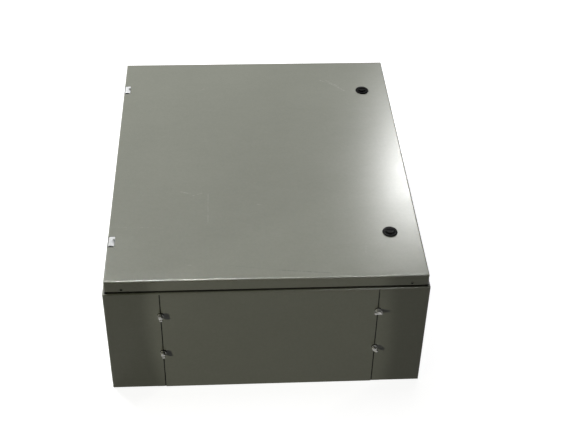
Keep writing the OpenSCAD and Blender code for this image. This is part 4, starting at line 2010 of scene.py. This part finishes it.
@dataclass
class Studio:
    """Camera, lamps, floor and surroundings.

    Attributes:
        lens: Focal length of the camera in millimetres.
        eye: Where the camera stands.
        right: Direction of the picture's right.
        up: Direction of the picture's top.
        lamps: The lamps.
        ambient: Level of the surroundings.
        pale: Level at which the camera sees them.
        floor_half: Half of the floor's side.
        floor_level: Level of the floor, just under the enclosure's back.
    """

    lens: float = 67.50
    eye: Point = (-0.0702, -1.8406, 1.6301)
    right: Point = (0.99825, -0.05568, 0.01976)
    up: Point = (0.02004, 0.63372, 0.77331)
    lamps: tuple[Lamp | Shaft, ...] = (
        Lamp("overhead", (0.0, 0.78, 3.6), (0.0, 0.1, 0.2), (2.2, 1.8), 40.0),
        Lamp("far_left", (-1.3, 1.5, 2.5), (0.0, 0.1, 0.28), (1.2, 1.2), 72.0),
        Lamp("window", (1.22, 3.95, 3.33), (0.3, 0.0, 0.28), (0.30, 0.50), 37.0, reach=Reach.GLOSS),
        Lamp("doorway", (1.45, 3.9, 3.1), (0.3, 0.0, 0.28), (1.0, 1.0), 32.0, reach=Reach.GLOSS),
        Shaft("shaft", (-4.73, -3.78, 1.58), (0.0016, -0.38, 0.15), (0.1404, 0.44), 245.0, MILD),
        Lamp("key", (-3.15, -2.67, 1.10), (0.03, -0.38, 0.13), (0.35, 0.35), 24.0, WARM),
        Lamp(
            "left_glint", (-0.52, 0.56, 3.05), (-0.18, -0.38, 0.28), (0.75, 1.00), 9.0,
            spread=16.0, reach=Reach.GLOSS,
        ),
        Lamp(
            "fold_glow", (0.45, 0.40, 3.05), (0.20, -0.42, 0.28), (1.20, 1.00), 3.0,
            spread=16.0, reach=Reach.GLOSS,
        ),
        Lamp(
            "right_glint", (0.505, -2.31, 1.95), (0.18, -0.38, 0.254), (0.20, 0.50), 0.45,
            spread=10.0, reach=Reach.GLOSS,
        ),
    )
    ambient: float = 0.02
    pale: float = 0.95
    floor_half: float = 40.0
    floor_level: float = -0.2 * MM

    def build(self) -> None:
        """Adds everything that isn't the object."""
        self.camera()
        for lamp in self.lamps:
            lamp.hang()
        self.floor()
        self.surroundings()

    def camera(self) -> None:
        """Sets the camera at the photograph's angle."""
        data = bpy.data.cameras.new("camera")
        data.lens = self.lens
        data.sensor_width = 36.0
        camera = bpy.data.objects.new("camera", data)
        right = Vector(self.right).normalized()
        back = right.cross(Vector(self.up)).normalized()
        up = back.cross(right)
        turn = Matrix((right, up, back)).transposed().to_4x4()
        camera.matrix_world = Matrix.Translation(self.eye) @ turn
        bpy.context.scene.collection.objects.link(camera)
        bpy.context.scene.camera = camera

    def floor(self) -> None:
        """Lays the floor."""
        reach = self.floor_half
        corners = ((-reach, -reach), (reach, -reach), (reach, reach), (-reach, reach))
        piece = new_piece("floor")
        piece.data.from_pydata([(x, y, self.floor_level) for x, y in corners], [], [(0, 1, 2, 3)])
        piece.data.materials.append(StudioFloor("studio_floor").material())

    def surroundings(self) -> None:
        """Sets a dim even room round the enclosure, whose far end looks pale."""
        world = bpy.data.worlds.new("room")
        world.use_nodes = True
        maker = NodeMaker(world.node_tree)
        maker.tree.nodes.clear()
        path = maker.node("ShaderNodeLightPath")
        dim = maker.node("ShaderNodeBackground", {}, {"Color": rgba(WHITE), "Strength": self.ambient})
        pale = maker.node("ShaderNodeBackground", {}, {"Color": rgba(WHITE), "Strength": self.pale})
        seen = maker.node("ShaderNodeMixShader", {}, {0: path.outputs["Is Camera Ray"], 1: dim, 2: pale})
        maker.node("ShaderNodeOutputWorld", {}, {"Surface": seen})
        bpy.context.scene.world = world


def main() -> None:
    """Builds the enclosure's looks and its studio."""
    logging.basicConfig(level=logging.INFO, format="%(name)s: %(message)s")
    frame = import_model()
    bpy.context.scene.view_settings.view_transform = "Standard"
    shell = Shell()
    hinges = Hinges()
    door = Door()
    shop = Workshop(frame, {
        # The body paint carries the painted shade in the gap under the door's rim.
        Slot.PAINT: PowderPaint("body_paint", marks=shell.gap_shade()).material(),
        Slot.ZINC: ZincPlate("bright_zinc").material(),
        Slot.GALVANISED: GalvanisedSheet("spangled_sheet").material(),
        Slot.PLASTIC: MouldedPlastic("black_moulding").material(),
        Slot.RUBBER: FoamRubber("foam_rubber").material(),
    })
    shop.recipes = {
        "set_out": set_out_recipe(),
        "threads": threads_recipe(),
        "weld": weld_recipe(),
        "seal": seal_recipe(),
    }
    dull = ZincPlate("dull_zinc", (0.42, 0.42, 0.41), (0.30, 0.30, 0.28), 0.40, 0.5)
    # The cast zinc carries the hinges' painted shade.
    cast = ZincPlate("cast_zinc", (0.80, 0.81, 0.82), (0.44, 0.45, 0.47), 0.6, 0.0, 0.08, hinges.knuckle_shade())
    Studio().build()
    shell.build(shop)
    MountingPlate().build(shop)
    EndPlate().build(shop, dull.material())
    hinges.build(shop, cast.material())
    # The door paint carries its scratches, scuffs and the painted shade in its hanging holes.
    door.build(shop, PowderPaint("door_paint", marks=door.wear_and_hole_shade()).material())
    for level in Level:
        Lock(level).build(shop)


if __name__ == "__main__":
    main()
